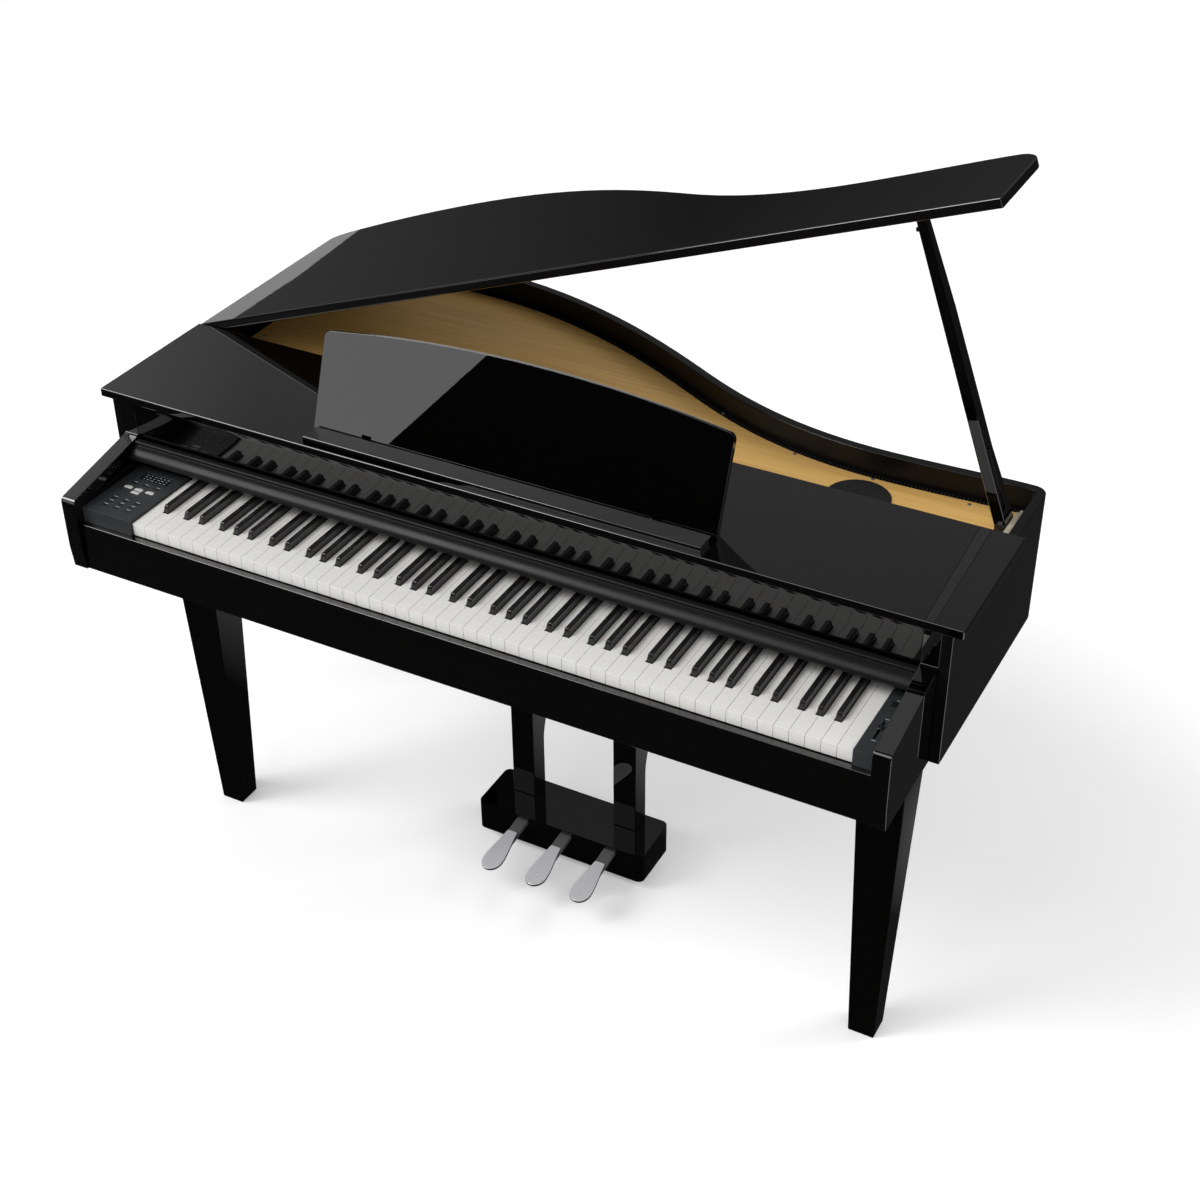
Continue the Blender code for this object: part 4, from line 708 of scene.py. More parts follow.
def wooden(name, pale, dark, band, roughness, line_scale, band_scale, relief):
    """Wood with year lines between two colours and broad bands that shift it to a third."""
    material, shader = new_material(name)
    shader.inputs["Roughness"].default_value = roughness
    make, link = workbench(material.node_tree)
    place, grain, lines, bands, bump = map(make, ("TexCoord", "Group", "ValToRGB", "Mix", "Bump"))
    grain.node_tree = GRAIN
    grain.inputs["Line Scale"].default_value = line_scale
    grain.inputs["Band Scale"].default_value = band_scale
    for point, position, shade in zip(lines.color_ramp.elements, (DARK_UP_TO, PALE_FROM), (dark, pale)):
        point.position = position
        point.color = shade
    bands.data_type = "RGBA"
    bands.blend_type = "MULTIPLY"
    bands.inputs["B"].default_value = band
    bump.inputs["Distance"].default_value = relief
    link(place, "Object", grain, "Vector")
    link(grain, "Lines", lines, "Fac")
    link(grain, "Bands", bands, "Factor")
    link(lines, "Color", bands, "A")
    link(bands, "Result", shader, "Base Color")
    link(grain, "Height", bump)
    link(bump, "Normal", shader)
    return material, shader


spruce, shader = wooden("golden_spruce", (0.76, 0.49, 0.165, 1), (0.64, 0.38, 0.115, 1),
                        (0.86, 0.80, 0.70, 1), 0.34, 170, 12, 0.00003)
shader.inputs["Coat Weight"].default_value = 0.25
shader.inputs["Coat Roughness"].default_value = 0.2

soundboard = board("spruce_panel", round_case(-SOUND_INSET, SOUND_FRONT), SOUND_TOP - SOUND_THICK, SOUND_TOP)
for side in (-1, 1):
    deselect()
    bpy.ops.mesh.primitive_cylinder_add(vertices=64, radius=SPEAKER_HOLE, depth=HOLE_DEPTH,
                                        location=(side * SPEAKER[0], SPEAKER[1], SOUND_TOP))
    carve(soundboard, bpy.context.object)
soften(soundboard, SAWN_EDGE, 2, 60)
fit(soundboard, "case", "golden_spruce", spruce, "soundboard")

COMB_PITCH = 0.0030
COMB_FLOOR = 0.8118
COMB_TOP = 0.8172
COMB_OUTER = 0.0158
COMB_INNER = 0.0265
COMB_FRONT = -0.0055
COMB_THICK = 0.0006


def even_steps(line, step):
    """Points at even steps along a line."""
    stations = []
    left_over = step / 2
    for (ax, ay), (bx, by) in zip(line, line[1:]):
        length = hypot(bx - ax, by - ay)
        along = left_over
        while along < length:
            share = along / length
            stations.append((ax + share * (bx - ax), ay + share * (by - ay)))
            along += step
        left_over = along - length
    return stations


comb_paint, _ = surface("comb_black", (0.010, 0.010, 0.010), patch=20, rough=(0.45, 0.6),
                        relief=(900, 0.00003))

middle = even_steps(round_case(-(COMB_OUTER + COMB_INNER) / 2, COMB_FRONT), COMB_PITCH)
half_gap = (COMB_INNER - COMB_OUTER) / 2
last = len(middle) - 1
deselect()
bpy.ops.mesh.primitive_grid_add(x_subdivisions=1, y_subdivisions=last, size=1)
comb = named(bpy.context.object, "vent_comb")
rows = sorted(comb.data.vertices, key=lambda v: (round(v.co.y, 6), v.co.x))
for number, (x, y) in enumerate(middle):
    ax, ay = middle[max(number - 1, 0)]
    bx, by = middle[min(number + 1, last)]
    length = hypot(bx - ax, by - ay)
    nx, ny = (by - ay) / length, -(bx - ax) / length
    rows[2 * number].co = (x - nx * half_gap, y - ny * half_gap, COMB_FLOOR)
    rows[2 * number + 1].co = (x + nx * half_gap, y + ny * half_gap, COMB_FLOOR)
edit(comb)
bpy.ops.mesh.normals_make_consistent(inside=False)
bpy.ops.mesh.select_all(action="DESELECT")
comb_mesh = bmesh.from_edit_mesh(comb.data)
comb_mesh.faces.ensure_lookup_table()
lift = 1 if comb_mesh.faces[0].normal.z > 0 else -1
for number, face in enumerate(comb_mesh.faces):
    face.select_set(number % 2 == 0)
bmesh.update_edit_mesh(comb.data)
bpy.ops.mesh.extrude_region_move(TRANSFORM_OT_translate={"value": (0, 0, COMB_TOP - COMB_FLOOR)})
deselect()
apply(comb, "SOLIDIFY", thickness=COMB_THICK, offset=-lift)
fit(comb, "case", "satin_black", comb_paint)
nodes["vent_strip"].material_slots[0].material = comb_paint

cloth, _ = surface("speaker_cloth", (0.006, 0.006, 0.006), patch=80, rough=(0.6, 0.8),
                   relief=(1800, 0.0002))
for node, name in (("left_speaker", "bass_speaker"), ("right_speaker", "treble_speaker")):
    fit(refined(node, name, 25), "case", "speaker_cloth", cloth, node)

raw_wood, shader = wooden("pale_wood", (0.42, 0.39, 0.31, 1), (0.33, 0.30, 0.23, 1),
                          (0.9, 0.88, 0.84, 1), 0.62, 260, 20, 0.00006)
fit(refined("prop_cleat", "pale_cleat", 35, WOOD_EDGE), "case", "pale_wood", raw_wood, "prop_cleat")

SCREW_HEAD = 0.0031
SCREW_FLATTENED = 0.45
RECESS = (0.0007, 0.0034)
RECESS_FLOOR = 0.0006
SOUND_SCREWS = ((0.4527, 0.1165), (0.6099, 0.1149), (0.4097, 0.0759), (-0.30, 0.380), (-0.04, 0.296),
                (0.16, 0.198), (0.315, 0.132), (-0.55, 0.365), (-0.675, 0.25), (-0.675, 0.08),
                (0.655, 0.020))


def cut_level(piece, height, **what):
    """Cut through the faces of a piece at one height."""
    edit(piece)
    bpy.ops.mesh.bisect(plane_co=(0, 0, height), plane_no=(0, 0, 1), **what)
    deselect()


def screw(name):
    """Round-headed steel screw with a cross recess, standing at the origin."""
    deselect()
    bpy.ops.mesh.primitive_uv_sphere_add(segments=20, ring_count=8, radius=SCREW_HEAD)
    head = named(bpy.context.object, name)
    cut_level(head, 0, clear_inner=True, use_fill=True)
    for vertex in head.data.vertices:
        vertex.co.z *= SCREW_FLATTENED
    for wide, long in (RECESS, RECESS[::-1]):
        carve(head, block("recess", (-wide / 2, -long / 2, RECESS_FLOOR), (wide / 2, long / 2, SCREW_HEAD)))
    return smooth(head, 30)


def copy_at(piece, name, place, turned=0.0):
    """Copy of a piece moved to its place."""
    other = twin(piece, name)
    other.data.transform(Matrix.Translation(Vector(place)) @ Matrix.Rotation(turned, 4, "Z"))
    return other


pattern_screw = screw("pattern_screw")
for number, (x, y) in enumerate(SOUND_SCREWS):
    one = copy_at(pattern_screw, f"panel_screw_{number + 1}", (x, y, SOUND_TOP), number * 0.7)
    fit(one, "case", "zinc_steel", steel)
bpy.data.objects.remove(pattern_screw)


# The keyboard: 52 white keys and 36 black ones, moulded in plastic and set over a frame, each
# white one with a lip at its front. The middle octave moves.

WHITE_COUNT = 52
KEY_PITCH = 0.0235
KEY_LEFT = -0.5794
KEY_FRONT = -0.418
KEY_BACK = -0.183
KEY_TOP = 0.7366
KEY_BOTTOM = 0.715
KEY_SLOT = 0.0005
LIP_DEPTH = 0.0026
LIP_SET_BACK = 0.0004
SAME_PLACE = 0.0002
SHARP_FRONT = -0.3685
SHARP_WIDTH = 0.0104
SHARP_RISE = 0.012
SHARP_CLEARANCE = 0.0008
SHARP_SHORTER = (0.0004, 0.001)
SHARP_TOP_SHARE = 0.74
SHARP_FRONT_SLOPE = 0.0042
NOTCH_ROOM = 0.0014
LIP_UNDERCUT = 0.0007
SHARP_SHIFT = {"c": -0.0022, "d": 0.0036, "f": -0.0032, "g": 0.0005, "a": 0.0045}
MOVING_KEYS = range(23, 30)

ivory, shader = surface("white_key_plastic", (0.80, 0.79, 0.765), patch=40, rough=(0.22, 0.32),
                        relief=(900, 0.000006))
shader.inputs["Subsurface Weight"].default_value = 0.05
shader.inputs["Subsurface Scale"].default_value = 0.004

sharp_black, _ = surface("black_key_plastic", (0.009, 0.009, 0.0085), patch=60, rough=(0.15, 0.22),
                         relief=(1500, 0.000002), ior=1.6)


def letter(white):
    return "abcdefg"[white % 7]


def shift_at(boundary):
    """Sideways shift of the black key between two white ones, or None where there is none."""
    if boundary in (0, WHITE_COUNT):
        return None
    return SHARP_SHIFT.get(letter(boundary - 1))


def white_key(name, left, right):
    """White key cut out beside its black neighbours, with its lip, standing at the left end."""
    neck_front = SHARP_FRONT - NOTCH_ROOM
    near, far = KEY_SLOT / 2, KEY_PITCH - KEY_SLOT / 2
    outline = [(near, KEY_FRONT), (far, KEY_FRONT)]
    if right is None:
        outline += [(far, KEY_BACK)]
    else:
        neck = KEY_PITCH + right - SHARP_WIDTH / 2 - SHARP_CLEARANCE
        outline += [(far, neck_front), (neck, neck_front), (neck, KEY_BACK)]
    if left is None:
        outline += [(near, KEY_BACK)]
    else:
        neck = left + SHARP_WIDTH / 2 + SHARP_CLEARANCE
        outline += [(neck, KEY_BACK), (neck, neck_front), (near, neck_front)]
    key = board(name, outline, KEY_BOTTOM, KEY_TOP)
    for depth in (LIP_DEPTH, LIP_DEPTH + LIP_UNDERCUT):
        cut_level(key, KEY_TOP - depth)
    for vertex in key.data.vertices:
        at_front = vertex.co.y < KEY_FRONT + SAME_PLACE
        if at_front and vertex.co.z < KEY_TOP - LIP_DEPTH - SAME_PLACE:
            vertex.co.y += LIP_SET_BACK
    return soften(key, SAWN_EDGE, 2)


white_patterns = {}
for white in range(WHITE_COUNT):
    shape = (shift_at(white), shift_at(white + 1))
    if shape not in white_patterns:
        white_patterns[shape] = white_key(f"white_pattern_{len(white_patterns)}", *shape)
    key = copy_at(white_patterns[shape], f"white_key_{white + 1:02d}", (KEY_LEFT + white * KEY_PITCH, 0, 0))
    if white in MOVING_KEYS:
        note = letter(white)
        fit(key, "note_" + note, "white_key_plastic", ivory, "key_" + note)
    else:
        node = "bass_keys" if white < MOVING_KEYS[0] else "treble_keys"
        fit(key, "case", "white_key_plastic", ivory, node)
for pattern in white_patterns.values():
    bpy.data.objects.remove(pattern)

pattern = block("black_pattern", (-SHARP_WIDTH / 2, SHARP_FRONT, KEY_BOTTOM + SHARP_SHORTER[0]),
                (SHARP_WIDTH / 2, KEY_BACK - SHARP_SHORTER[1], KEY_TOP + SHARP_RISE))
cut_level(pattern, KEY_TOP)
for vertex in pattern.data.vertices:
    if vertex.co.z > KEY_TOP + SAME_PLACE:
        vertex.co.x *= SHARP_TOP_SHARE
        if vertex.co.y < SHARP_FRONT + SAME_PLACE:
            vertex.co.y += SHARP_FRONT_SLOPE
soften(pattern, FINE_EDGE, 4, 30)
for boundary in range(1, WHITE_COUNT):
    shift = shift_at(boundary)
    if shift is None:
        continue
    white = boundary - 1
    place = (KEY_LEFT + boundary * KEY_PITCH + shift, 0, 0)
    key = copy_at(pattern, f"black_key_after_{boundary:02d}", place)
    if white in MOVING_KEYS:
        note = letter(white) + "_sharp"
        fit(key, "note_" + note, "black_key_plastic", sharp_black, "key_" + note)
    else:
        fit(key, "case", "black_key_plastic", sharp_black)
bpy.data.objects.remove(pattern)
nodes["key_frame"].material_slots[0].material = satin


# The key cover is a thin satin board that slides out over the keys on guide pins. Across its front
# runs a rail milled from one length: a thin bar along the top, and under it a half round that the
# hand draws on.

COVER_HALF = 0.6754
COVER_PLATE = 0.002
COVER_DEPTH = 0.150
RAIL_BACK = -0.2715
RAIL_HIGH = 0.7905
RAIL_LOW = 0.764
BAR_FRONT = -0.2822
BAR_LOW = 0.7843
BAR_TURN = 0.0028
BAR_UNDERCUT = 0.0012
ROUND_FRONT = -0.299
ROUND_TOP = (-0.283, 0.7833)
ROUND_LOW = 0.768
RAIL_TURN = 0.0030
ROUND_LEAVES = (0.38, 0.89)
ROUND_ARRIVES = 0.36
ROUND_STEPS = 16
PIN_LENGTH = 0.006
PIN_OUT = 0.002

cover_paint, _ = surface("cover_satin", (0.010, 0.010, 0.010), patch=12, rough=(0.24, 0.32),
                         relief=(800, 0.00001), ior=1.24)


def curve(start, leave, arrive, end, steps):
    """Points of a cubic curve from start to end, drawn by the two points it leaves and arrives by."""
    points = []
    for step in range(steps + 1):
        share = step / steps
        rest = 1 - share
        weights = (rest**3, 3 * rest**2 * share, 3 * rest * share**2, share**3)
        points.append(tuple(sum(w * p[k] for w, p in zip(weights, (start, leave, arrive, end)))
                            for k in range(2)))
    return points


def merge(piece, others):
    """Join other pieces into one."""
    pick(piece)
    for other in others:
        other.select_set(True)
    bpy.ops.object.join()
    return piece


along = (RAIL_BACK - COVER_LINE[0]) / cos(COVER_ANGLE)
rail_side = [(RAIL_BACK, RAIL_LOW), on_cover_line(along, -COVER_PLATE)]
rail_side += [on_cover_line(COVER_DEPTH, side * COVER_PLATE) for side in (-1, 1)]
rail_side += [on_cover_line(along, COVER_PLATE), (RAIL_BACK, RAIL_HIGH)]
rail_side += arc((BAR_FRONT + BAR_TURN, RAIL_HIGH - BAR_TURN), BAR_TURN, 90, 180, 5)
rail_side += [(BAR_FRONT + BAR_UNDERCUT, BAR_LOW)]
round_out, round_down = ROUND_TOP[0] - ROUND_FRONT, ROUND_TOP[1] - ROUND_LOW
leaves = (ROUND_TOP[0] - ROUND_LEAVES[0] * round_out, ROUND_LOW + ROUND_LEAVES[1] * round_down)
arrives = (ROUND_FRONT, ROUND_LOW + ROUND_ARRIVES * round_down)
rail_side += curve(ROUND_TOP, leaves, arrives, (ROUND_FRONT, ROUND_LOW), ROUND_STEPS)
rail_side += arc((ROUND_FRONT + RAIL_TURN, RAIL_LOW + RAIL_TURN), RAIL_TURN, 200, 270, 4)
cover = profile("sliding_cover", rail_side, -COVER_HALF, COVER_HALF)
soften(cover, CRISP_EDGE, 2, 50)
pins = []
for side in (-1, 1):
    for along in GUIDE_PINS:
        deselect()
        depth, height = on_cover_line(along)
        bpy.ops.mesh.primitive_cylinder_add(vertices=20, radius=PIN_RADIUS, depth=PIN_LENGTH,
                                            location=(side * (COVER_HALF + PIN_OUT), depth, height),
                                            rotation=(0, radians(90), 0))
        pins.append(named(bpy.context.object, "cover_pin"))
smooth(merge(cover, pins), 30)
fit(cover, "cover", "satin_black", cover_paint, "key_cover")


# The music desk, a polished board, stands on the top board behind its ledge, with a steel stay at
# its back. It has an arched top, a round lower edge that turns on two pins, and a pocket that takes
# the stay.

DESK_HALF = 0.3475
DESK_THICK = 0.005
ROUND_SHARE = 0.98
DESK_TILT = radians(20)
DESK_AXIS = (0, -0.2241, 0.8777)
DESK_SHOULDER = 0.152
DESK_ARCH = 0.024
DESK_CORNER = 0.012
DESK_ARCH_STEPS = 48
LUG_X = 0.250
LUG_HALF = 0.008
LUG_ROUND = 0.004
NOTCH = (0.0088, 0.02, 0.0064)
LEDGE_HALF = 0.341
LEDGE_DEPTH = (-0.269, -0.233)
LUG_EDGE = 0.0015
THIN_EDGE = 0.0009
LEDGE_EDGE = 0.002
LEDGE_LOW = 0.8727
LEDGE_HIGH = 0.8823
STAY_POCKET = ((-0.0126, -0.00035, 0.0615), (0.0126, 0.012, 0.1541))


def round_some(piece, width, segments, wanted):
    """Round only the edges between two corners that pass a test."""
    edit(piece, "DESELECT")
    mesh = bmesh.from_edit_mesh(piece.data)
    for edge in mesh.edges:
        edge.select_set(wanted(edge.verts[0].co, edge.verts[1].co))
    bmesh.update_edit_mesh(piece.data)
    bpy.ops.mesh.bevel(offset=width, segments=segments, affect="EDGES")
    deselect()
    return piece


ledge = block("desk_sill", (-LEDGE_HALF, LEDGE_DEPTH[0], LEDGE_LOW),
              (LEDGE_HALF, LEDGE_DEPTH[1], LEDGE_HIGH))
round_some(ledge, LEDGE_EDGE, 4, lambda a, b: min(a.z, b.z) > LEDGE_LOW + SAME_PLACE)
lugs = [block("lug", (side * LUG_X - LUG_HALF, LEDGE_DEPTH[1] - LUG_ROUND, LEDGE_LOW),
              (side * LUG_X + LUG_HALF, DESK_AXIS[1] + LUG_ROUND, DESK_AXIS[2] + LUG_ROUND))
        for side in (-1, 1)]
for lug in lugs:
    soften(lug, LUG_EDGE, 3)
fit(smooth(merge(ledge, lugs)), "case", "polished_ebony", ebony, "desk_ledge")
ledge_satin, _ = surface("ledge_satin", (0.020, 0.020, 0.020), patch=20, rough=(0.35, 0.45),
                         relief=(900, 0.00001))
paint_where(ledge, ledge_satin,
            lambda face: face.normal.z > 0.95 and face.center.z > LEDGE_HIGH - SAME_PLACE)

flank = DESK_SHOULDER - DESK_CORNER
span = DESK_HALF - DESK_CORNER
desk_face = [(-DESK_HALF, -DESK_THICK), (DESK_HALF, -DESK_THICK)]
desk_face += arc((span, flank), DESK_CORNER, 0, 78, 8)
for step in range(1, DESK_ARCH_STEPS):
    x = span * (1 - 2 * step / DESK_ARCH_STEPS)
    desk_face.append((x, DESK_SHOULDER + DESK_ARCH * (1 - (x / span) ** 2)))
desk_face += arc((-span, flank), DESK_CORNER, 102, 180, 8)
desk = board("desk_board", desk_face, -DESK_THICK, DESK_THICK)
desk.data.transform(Matrix.Rotation(radians(90), 4, "X"))
round_some(desk, DESK_THICK * ROUND_SHARE, 8, lambda a, b: max(a.z, b.z) < 0 and abs(a.x - b.x) > span)
soften(desk, THIN_EDGE, 3, 50)
pocket = block("pocket", *STAY_POCKET)
notch_half, notch_deep, notch_high = NOTCH
notches = [block("notch", (side * LUG_X - notch_half, -notch_deep, -notch_deep),
                 (side * LUG_X + notch_half, notch_deep, notch_high)) for side in (-1, 1)]
smooth(carve(desk, pocket, *notches), 30)
desk.data.transform(Matrix.Translation(DESK_AXIS) @ Matrix.Rotation(-DESK_TILT, 4, "X"))
fit(desk, "desk", "polished_ebony", ebony, "music_desk")
fit(refined("desk_stay", "desk_prop", 40), "stay", "zinc_steel", steel, "desk_stay")


# The controls are set in two moulded matt panels beside the keys. The bass one has a display
# window, four pale buttons and twelve dark ones with small marks; the treble one has a slider and
# a button.

PANEL_SIDES = {"left_control_panel": (-0.6757, -0.5800), "right_control_panel": (0.6432, 0.6757)}
PANEL_HIGH = 0.742
PANEL_SIDE = ((-0.4202, 0.6503), (-0.2725, 0.6503), (-0.2725, PANEL_HIGH), (-0.4218, PANEL_HIGH),
              (-0.4226, 0.7417), (-0.4230, 0.7409), (-0.4230, 0.7153), (-0.4202, 0.7153))
CAP_SIZE = (0.015, 0.006)
CAP_ROOM = 0.0004
CAP_LOW = 0.7403
CAP_HIGH = 0.7428
WORN_EDGE = 0.0014
CAP_EDGE = 0.0003
PALE_CAPS = {"tempo": (-0.649, -0.340), "value_up": (-0.628, -0.3405), "value_down": (-0.628, -0.3494),
             "select": (-0.606, -0.340)}
DARK_COLUMNS = (-0.648, -0.626, -0.604)
DARK_ROWS = (-0.400, -0.388, -0.376, -0.3255)
DARK_SIZE = (0.010, 0.005)
DARK_SUNK = 0.002
DARK_PROUD = 0.0006
WINDOW = ((-0.651, -0.311), (-0.596, -0.290))
SLIDER_SLOT = ((0.6575, -0.3894), (0.6615, -0.3446))
POWER = (0.659, -0.306)
POWER_SIZE = (0.010, 0.012)
CAP_WELL = 0.739
WINDOW_WELL = 0.7412
SLOT_FLOOR = 0.736
CUT_TO = 0.75
GLASS_LOW = 0.7410
GLASS_HIGH = 0.7415
GLASS_ROOM = 0.0001
MARK_THICK = 0.00004
MARK_WIDTH = 0.0009
DARK_MARK = (0.0042, 0.0075)
PALE_MARK = (0.0052, 0.009)
PALE_MARKS_FROM = -0.345
WINDOW_MARKS = (0.003, 0.0055, 0.0055)
WINDOW_MARK_WIDTH = 0.0008
WINDOW_MARK_START = (0.007, 0.004)
WINDOW_MARK_STEP = (0.0082, 0.0062)
SLIDER_MARK = 0.006
SLIDER_MARK_X = 0.6605
SLIDER_MARK_YS = (-0.3925, -0.3415, -0.296)

plastic, _ = surface("panel_plastic", (0.030, 0.032, 0.034), patch=30, rough=(0.38, 0.48),
                     relief=(1400, 0.00005))
dark_cap, _ = surface("dark_caps", (0.011, 0.011, 0.012), patch=90, rough=(0.26, 0.36),
                      relief=(1600, 0.00002))
pale_cap, _ = surface("pale_caps", (0.62, 0.62, 0.60), patch=90, rough=(0.36, 0.46), relief=(1600, 0.00002))
window_glass, _ = surface("window_glass", (0.010, 0.011, 0.013), patch=40, rough=(0.08, 0.14),
                          relief=(900, 0.000008))
marking, _ = surface("pale_marking", (0.60, 0.61, 0.62), patch=90, rough=(0.45, 0.55),
                     relief=(1600, 0.00001))


def around(middle, size, low, high, room=0.0):
    """Corners of a block standing round a middle, with some room at its sides."""
    dx, dy = size[0] / 2 + room, size[1] / 2 + room
    return (middle[0] - dx, middle[1] - dy, low), (middle[0] + dx, middle[1] + dy, high)


def cap(name, middle, size, low=CAP_LOW, high=CAP_HIGH):
    """Push button with rounded corners and a softened face."""
    key = block(name, *around(middle, size, low, high))
    round_some(key, WORN_EDGE, 4, lambda a, b: abs(a.z - b.z) > SAME_PLACE)
    return soften(key, CAP_EDGE, 2)


for node, name in (("left_control_panel", "bass_panel"), ("right_control_panel", "treble_panel")):
    panel = profile(name, PANEL_SIDE, *PANEL_SIDES[node])
    soften(panel, CRISP_EDGE, 2, 60)
    if node == "left_control_panel":
        wells = [block("well", *around(place, CAP_SIZE, CAP_WELL, CUT_TO, CAP_ROOM))
                 for place in PALE_CAPS.values()]
        wells.append(block("well", (*WINDOW[0], WINDOW_WELL), (*WINDOW[1], CUT_TO)))
    else:
        wells = [block("well", *around(POWER, POWER_SIZE, CAP_WELL, CUT_TO, CAP_ROOM)),
                 block("well", (*SLIDER_SLOT[0], SLOT_FLOOR), (*SLIDER_SLOT[1], CUT_TO))]
    fit(smooth(carve(panel, *wells)), "case", "panel_plastic", plastic, node)

for body, place in PALE_CAPS.items():
    fit(cap("cap_" + body, place, CAP_SIZE), body, "pale_plastic", pale_cap, body + "_button")
fit(cap("cap_power", POWER, POWER_SIZE), "power", "panel_plastic", dark_cap, "power_button")
for column in DARK_COLUMNS:
    for row in DARK_ROWS:
        one = cap("dark_cap", (column, row), DARK_SIZE, PANEL_HIGH - DARK_SUNK, PANEL_HIGH + DARK_PROUD)
        fit(one, "case", "panel_plastic", dark_cap)
knob = refined("volume_slider", "cap_volume", 40, CAP_EDGE)
fit(knob, "slider", "panel_plastic", dark_cap, "volume_slider")

(left, near), (right, far) = WINDOW
glass = block("display_glass", (left + GLASS_ROOM, near + GLASS_ROOM, GLASS_LOW),
              (right - GLASS_ROOM, far - GLASS_ROOM, GLASS_HIGH))
fit(glass, "case", "panel_plastic", window_glass)


def mark(x, y, length, width=MARK_WIDTH, level=PANEL_HIGH):
    """Short printed stroke."""
    return block("mark", *around((x, y), (length, width), level, level + MARK_THICK))


marks = [mark(x, y + DARK_MARK[0], DARK_MARK[1]) for x in DARK_COLUMNS for y in DARK_ROWS]
marks += [mark(x, y + PALE_MARK[0], PALE_MARK[1]) for x, y in PALE_CAPS.values() if y > PALE_MARKS_FROM]
for row in range(3):
    for place in range(6):
        x = left + WINDOW_MARK_START[0] + place * WINDOW_MARK_STEP[0]
        y = near + WINDOW_MARK_START[1] + row * WINDOW_MARK_STEP[1]
        marks.append(mark(x, y, WINDOW_MARKS[(place + row) % 3], WINDOW_MARK_WIDTH, GLASS_HIGH))
marks += [mark(SLIDER_MARK_X, y, SLIDER_MARK) for y in SLIDER_MARK_YS]
fit(named(merge(marks[0], marks[1:]), "panel_marks"), "case", "pale_plastic", marking)
nodes["power_inlet"].material_slots[0].material = plastic

circuit, _ = surface("circuit_board", (0.02, 0.14, 0.06), patch=90, rough=(0.3, 0.6), relief=(700, 0.0001))
nodes["main_board"].material_slots[0].material = circuit


# The stand is polished wood: three square legs that taper to the floor, and a lyre of two columns
# with the pedal box between them and the floor. The pedals are bright plates on grey steel shanks
# that go back into the box.

LEGS = (("left_leg", "bass_leg", -0.6295, -0.2045), ("right_leg", "treble_leg", 0.6295, -0.2045),
        ("rear_leg", "tail_leg", -0.420, 0.342))
LEG_HEAD = 0.082
LEG_FOOT = 0.0446
LEG_TOP = 0.6317
LEG_EDGE = 0.0022

for node, name, x, y in LEGS:
    half = LEG_HEAD / 2
    leg = block(name, (-half, -half, 0), (half, half, LEG_TOP))
    for vertex in leg.data.vertices:
        share = LEG_FOOT / LEG_HEAD if vertex.co.z < LEG_TOP / 2 else 1
        vertex.co = (x + vertex.co.x * share, y + vertex.co.y * share, vertex.co.z)
    soften(leg, LEG_EDGE, 4)
    fit(leg, "case", "polished_ebony", thin_lacquer, node)

COLUMN_FRONT = -0.043
COLUMN_SIDES = (0.080, 0.124)
COLUMN_LOW = 0.0843
COLUMN_STEPS = 54
COLUMN_SLIM = 0.039
SWELL = 0.032
SWELL_STARTS = 0.193
SWELL_LONG = 0.219
HEAD_SWELL = 0.016
HEAD_STARTS = 0.87


def column_depth(share):
    """Depth of a column at a share of its height: slim at the foot, swelling twice towards the top."""
    middle = min(max((share - SWELL_STARTS) / SWELL_LONG, 0), 1)
    head = max((share - HEAD_STARTS) / (1 - HEAD_STARTS), 0)
    return COLUMN_SLIM + SWELL * middle * middle * (3 - 2 * middle) + HEAD_SWELL * head * head


column_side = [(COLUMN_FRONT, COLUMN_LOW)]
for step in range(COLUMN_STEPS + 1):
    share = step / COLUMN_STEPS
    column_side.append((COLUMN_FRONT + column_depth(share), COLUMN_LOW + share * (LEG_TOP - COLUMN_LOW)))
column_side.append((COLUMN_FRONT, LEG_TOP))
for node, name, side in (("left_lyre_column", "bass_column", -1), ("right_lyre_column", "treble_column", 1)):
    column = profile(name, column_side, *sorted((side * COLUMN_SIDES[0], side * COLUMN_SIDES[1])))
    soften(column, WORN_EDGE, 3, 50)
    fit(column, "case", "polished_ebony", thin_lacquer, node)

BOX_SIDE = 0.166
BOX_FRONT = -0.100
BOX_REAR = 0.006
BOX_LOW = 0.024
BOX_HIGH = 0.084
BOX_CORNER = 0.012
PEDAL_X = {"soft": -0.0740, "sostenuto": 0.0140, "damper": 0.1020}
SHANK_HALF = 0.011
SLOT_LOW = 0.0575
SLOT_HIGH = 0.0775
SLOT_BACK = -0.018
SHANK_ROOM = 0.0012

box_plan = []
inner_side = BOX_SIDE - BOX_CORNER
inner_front, inner_rear = BOX_FRONT + BOX_CORNER, BOX_REAR - BOX_CORNER
for centre, start in (((inner_side, inner_rear), 0), ((-inner_side, inner_rear), 90),
                      ((-inner_side, inner_front), 180), ((inner_side, inner_front), 270)):
    box_plan += arc(centre, BOX_CORNER, start, start + 90, 10)
lyre_box = board("lyre_box", box_plan, BOX_LOW, BOX_HIGH)
soften(lyre_box, THIN_EDGE, 2, 50)
slot_half = SHANK_HALF + SHANK_ROOM
slots = [block("slot", (x - slot_half, BOX_FRONT - OVER_CUT, SLOT_LOW),
               (x + slot_half, SLOT_BACK, SLOT_HIGH)) for x in PEDAL_X.values()]
smooth(carve(lyre_box, *slots))
fit(lyre_box, "case", "polished_ebony", thin_lacquer, "pedal_box")

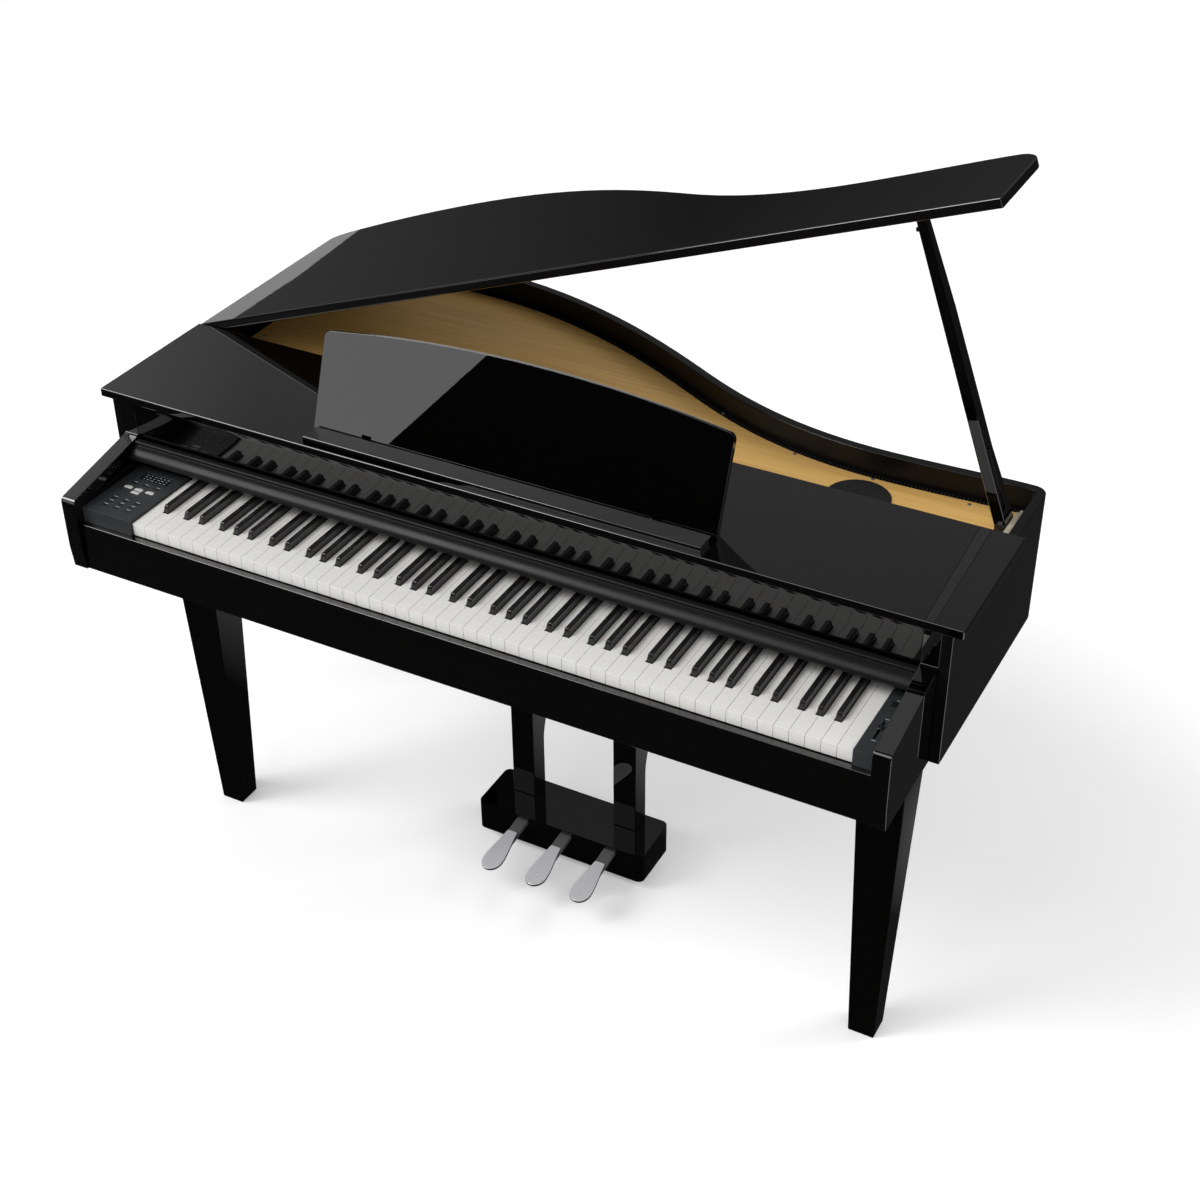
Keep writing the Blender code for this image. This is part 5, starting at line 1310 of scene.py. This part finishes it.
PLATE_TIP = -0.227
PLATE_TIP_HIGH = 0.0625
PLATE_SLOPE = radians(8.5)
PLATE_LENGTH = 0.094
PLATE_THICK = 0.005
PAD_HALF = 0.019
PAD_AT = 0.0228
NECK_HALF = 0.010
NECK_CORNER = 0.0025
CORNER_SHARE = 0.3
TAPER_LEAVES = 0.30
TAPER_ARRIVES = (0.22, 0.65)
TAPER_STEPS = 12
SHANK_TOP = 0.076
SHANK_LOW = 0.067
SHANK_END = -0.023
SHANK_LEVEL = -0.110
SHANK_EDGE = 0.001
SHANK_STARTS = 0.45
SHANK_SUNK = 0.8
SHANK_NOSE = (0.004, 0.003)
EDGE_TURNS_AT = 0.62

plate_metal, _ = surface("pedal_plate_metal", (0.84, 0.84, 0.87), patch=40, rough=(0.26, 0.36),
                         relief=(1400, 0.0000002), metallic=0.35)
plate_edge, _ = surface("pedal_edge_metal", (0.75, 0.75, 0.77), patch=40, rough=(0.06, 0.12),
                        relief=(1400, 0.000001), metallic=1.0)
shank_metal, _ = surface("pedal_shank_metal", (0.20, 0.20, 0.205), patch=60, rough=(0.34, 0.46),
                         relief=(1200, 0.000002), metallic=0.5)

plate_half = [(PAD_HALF * sin(radians(a)), PAD_AT * (1 - cos(radians(a)))) for a in range(0, 91, 6)]
taper = PLATE_LENGTH - PAD_AT
arrives = (NECK_HALF + TAPER_ARRIVES[0] * (PAD_HALF - NECK_HALF), PAD_AT + TAPER_ARRIVES[1] * taper)
plate_half += curve((PAD_HALF, PAD_AT), (PAD_HALF, PAD_AT + TAPER_LEAVES * taper), arrives,
                    (NECK_HALF, PLATE_LENGTH), TAPER_STEPS)[1:]
plate_half[-1] = (NECK_HALF, PLATE_LENGTH - NECK_CORNER)
plate_half.append((NECK_HALF - NECK_CORNER * CORNER_SHARE, PLATE_LENGTH - NECK_CORNER * CORNER_SHARE))
plate_half.append((NECK_HALF - NECK_CORNER, PLATE_LENGTH))
plate_plan = plate_half + [(-x, y) for x, y in reversed(plate_half[1:])]
rise = tan(PLATE_SLOPE)
shank_start, shank_meet = PLATE_LENGTH * SHANK_STARTS, PLATE_LENGTH * cos(PLATE_SLOPE)
shank_nose = (PLATE_TIP + shank_start, PLATE_TIP_HIGH + shank_start * rise - PLATE_THICK)
shank_side = [
    shank_nose,
    (PLATE_TIP + shank_meet, PLATE_TIP_HIGH + shank_meet * rise - PLATE_THICK * SHANK_SUNK),
    (SHANK_LEVEL, SHANK_TOP), (SHANK_END, SHANK_TOP), (SHANK_END, SHANK_LOW), (SHANK_LEVEL, SHANK_LOW),
    (shank_nose[0] + SHANK_NOSE[0], shank_nose[1] - SHANK_NOSE[1]),
]
for body, x in PEDAL_X.items():
    plate = board(body + "_pedal_plate", plate_plan, -PLATE_THICK, 0)
    soften(plate, WORN_EDGE, 4, 50)
    plate.data.transform(Matrix.Rotation(PLATE_SLOPE, 4, "X"))
    plate.data.transform(Matrix.Translation((x, PLATE_TIP, PLATE_TIP_HIGH)))
    fit(plate, body, "chrome", plate_metal, body + "_pedal")
    paint_where(plate, plate_edge, lambda face: face.normal.z < EDGE_TURNS_AT)
    shank = profile(body + "_pedal_shank", shank_side, x - SHANK_HALF, x + SHANK_HALF)
    soften(shank, SHANK_EDGE, 3, 30)
    fit(shank, body, "chrome", shank_metal, body + "_pedal")
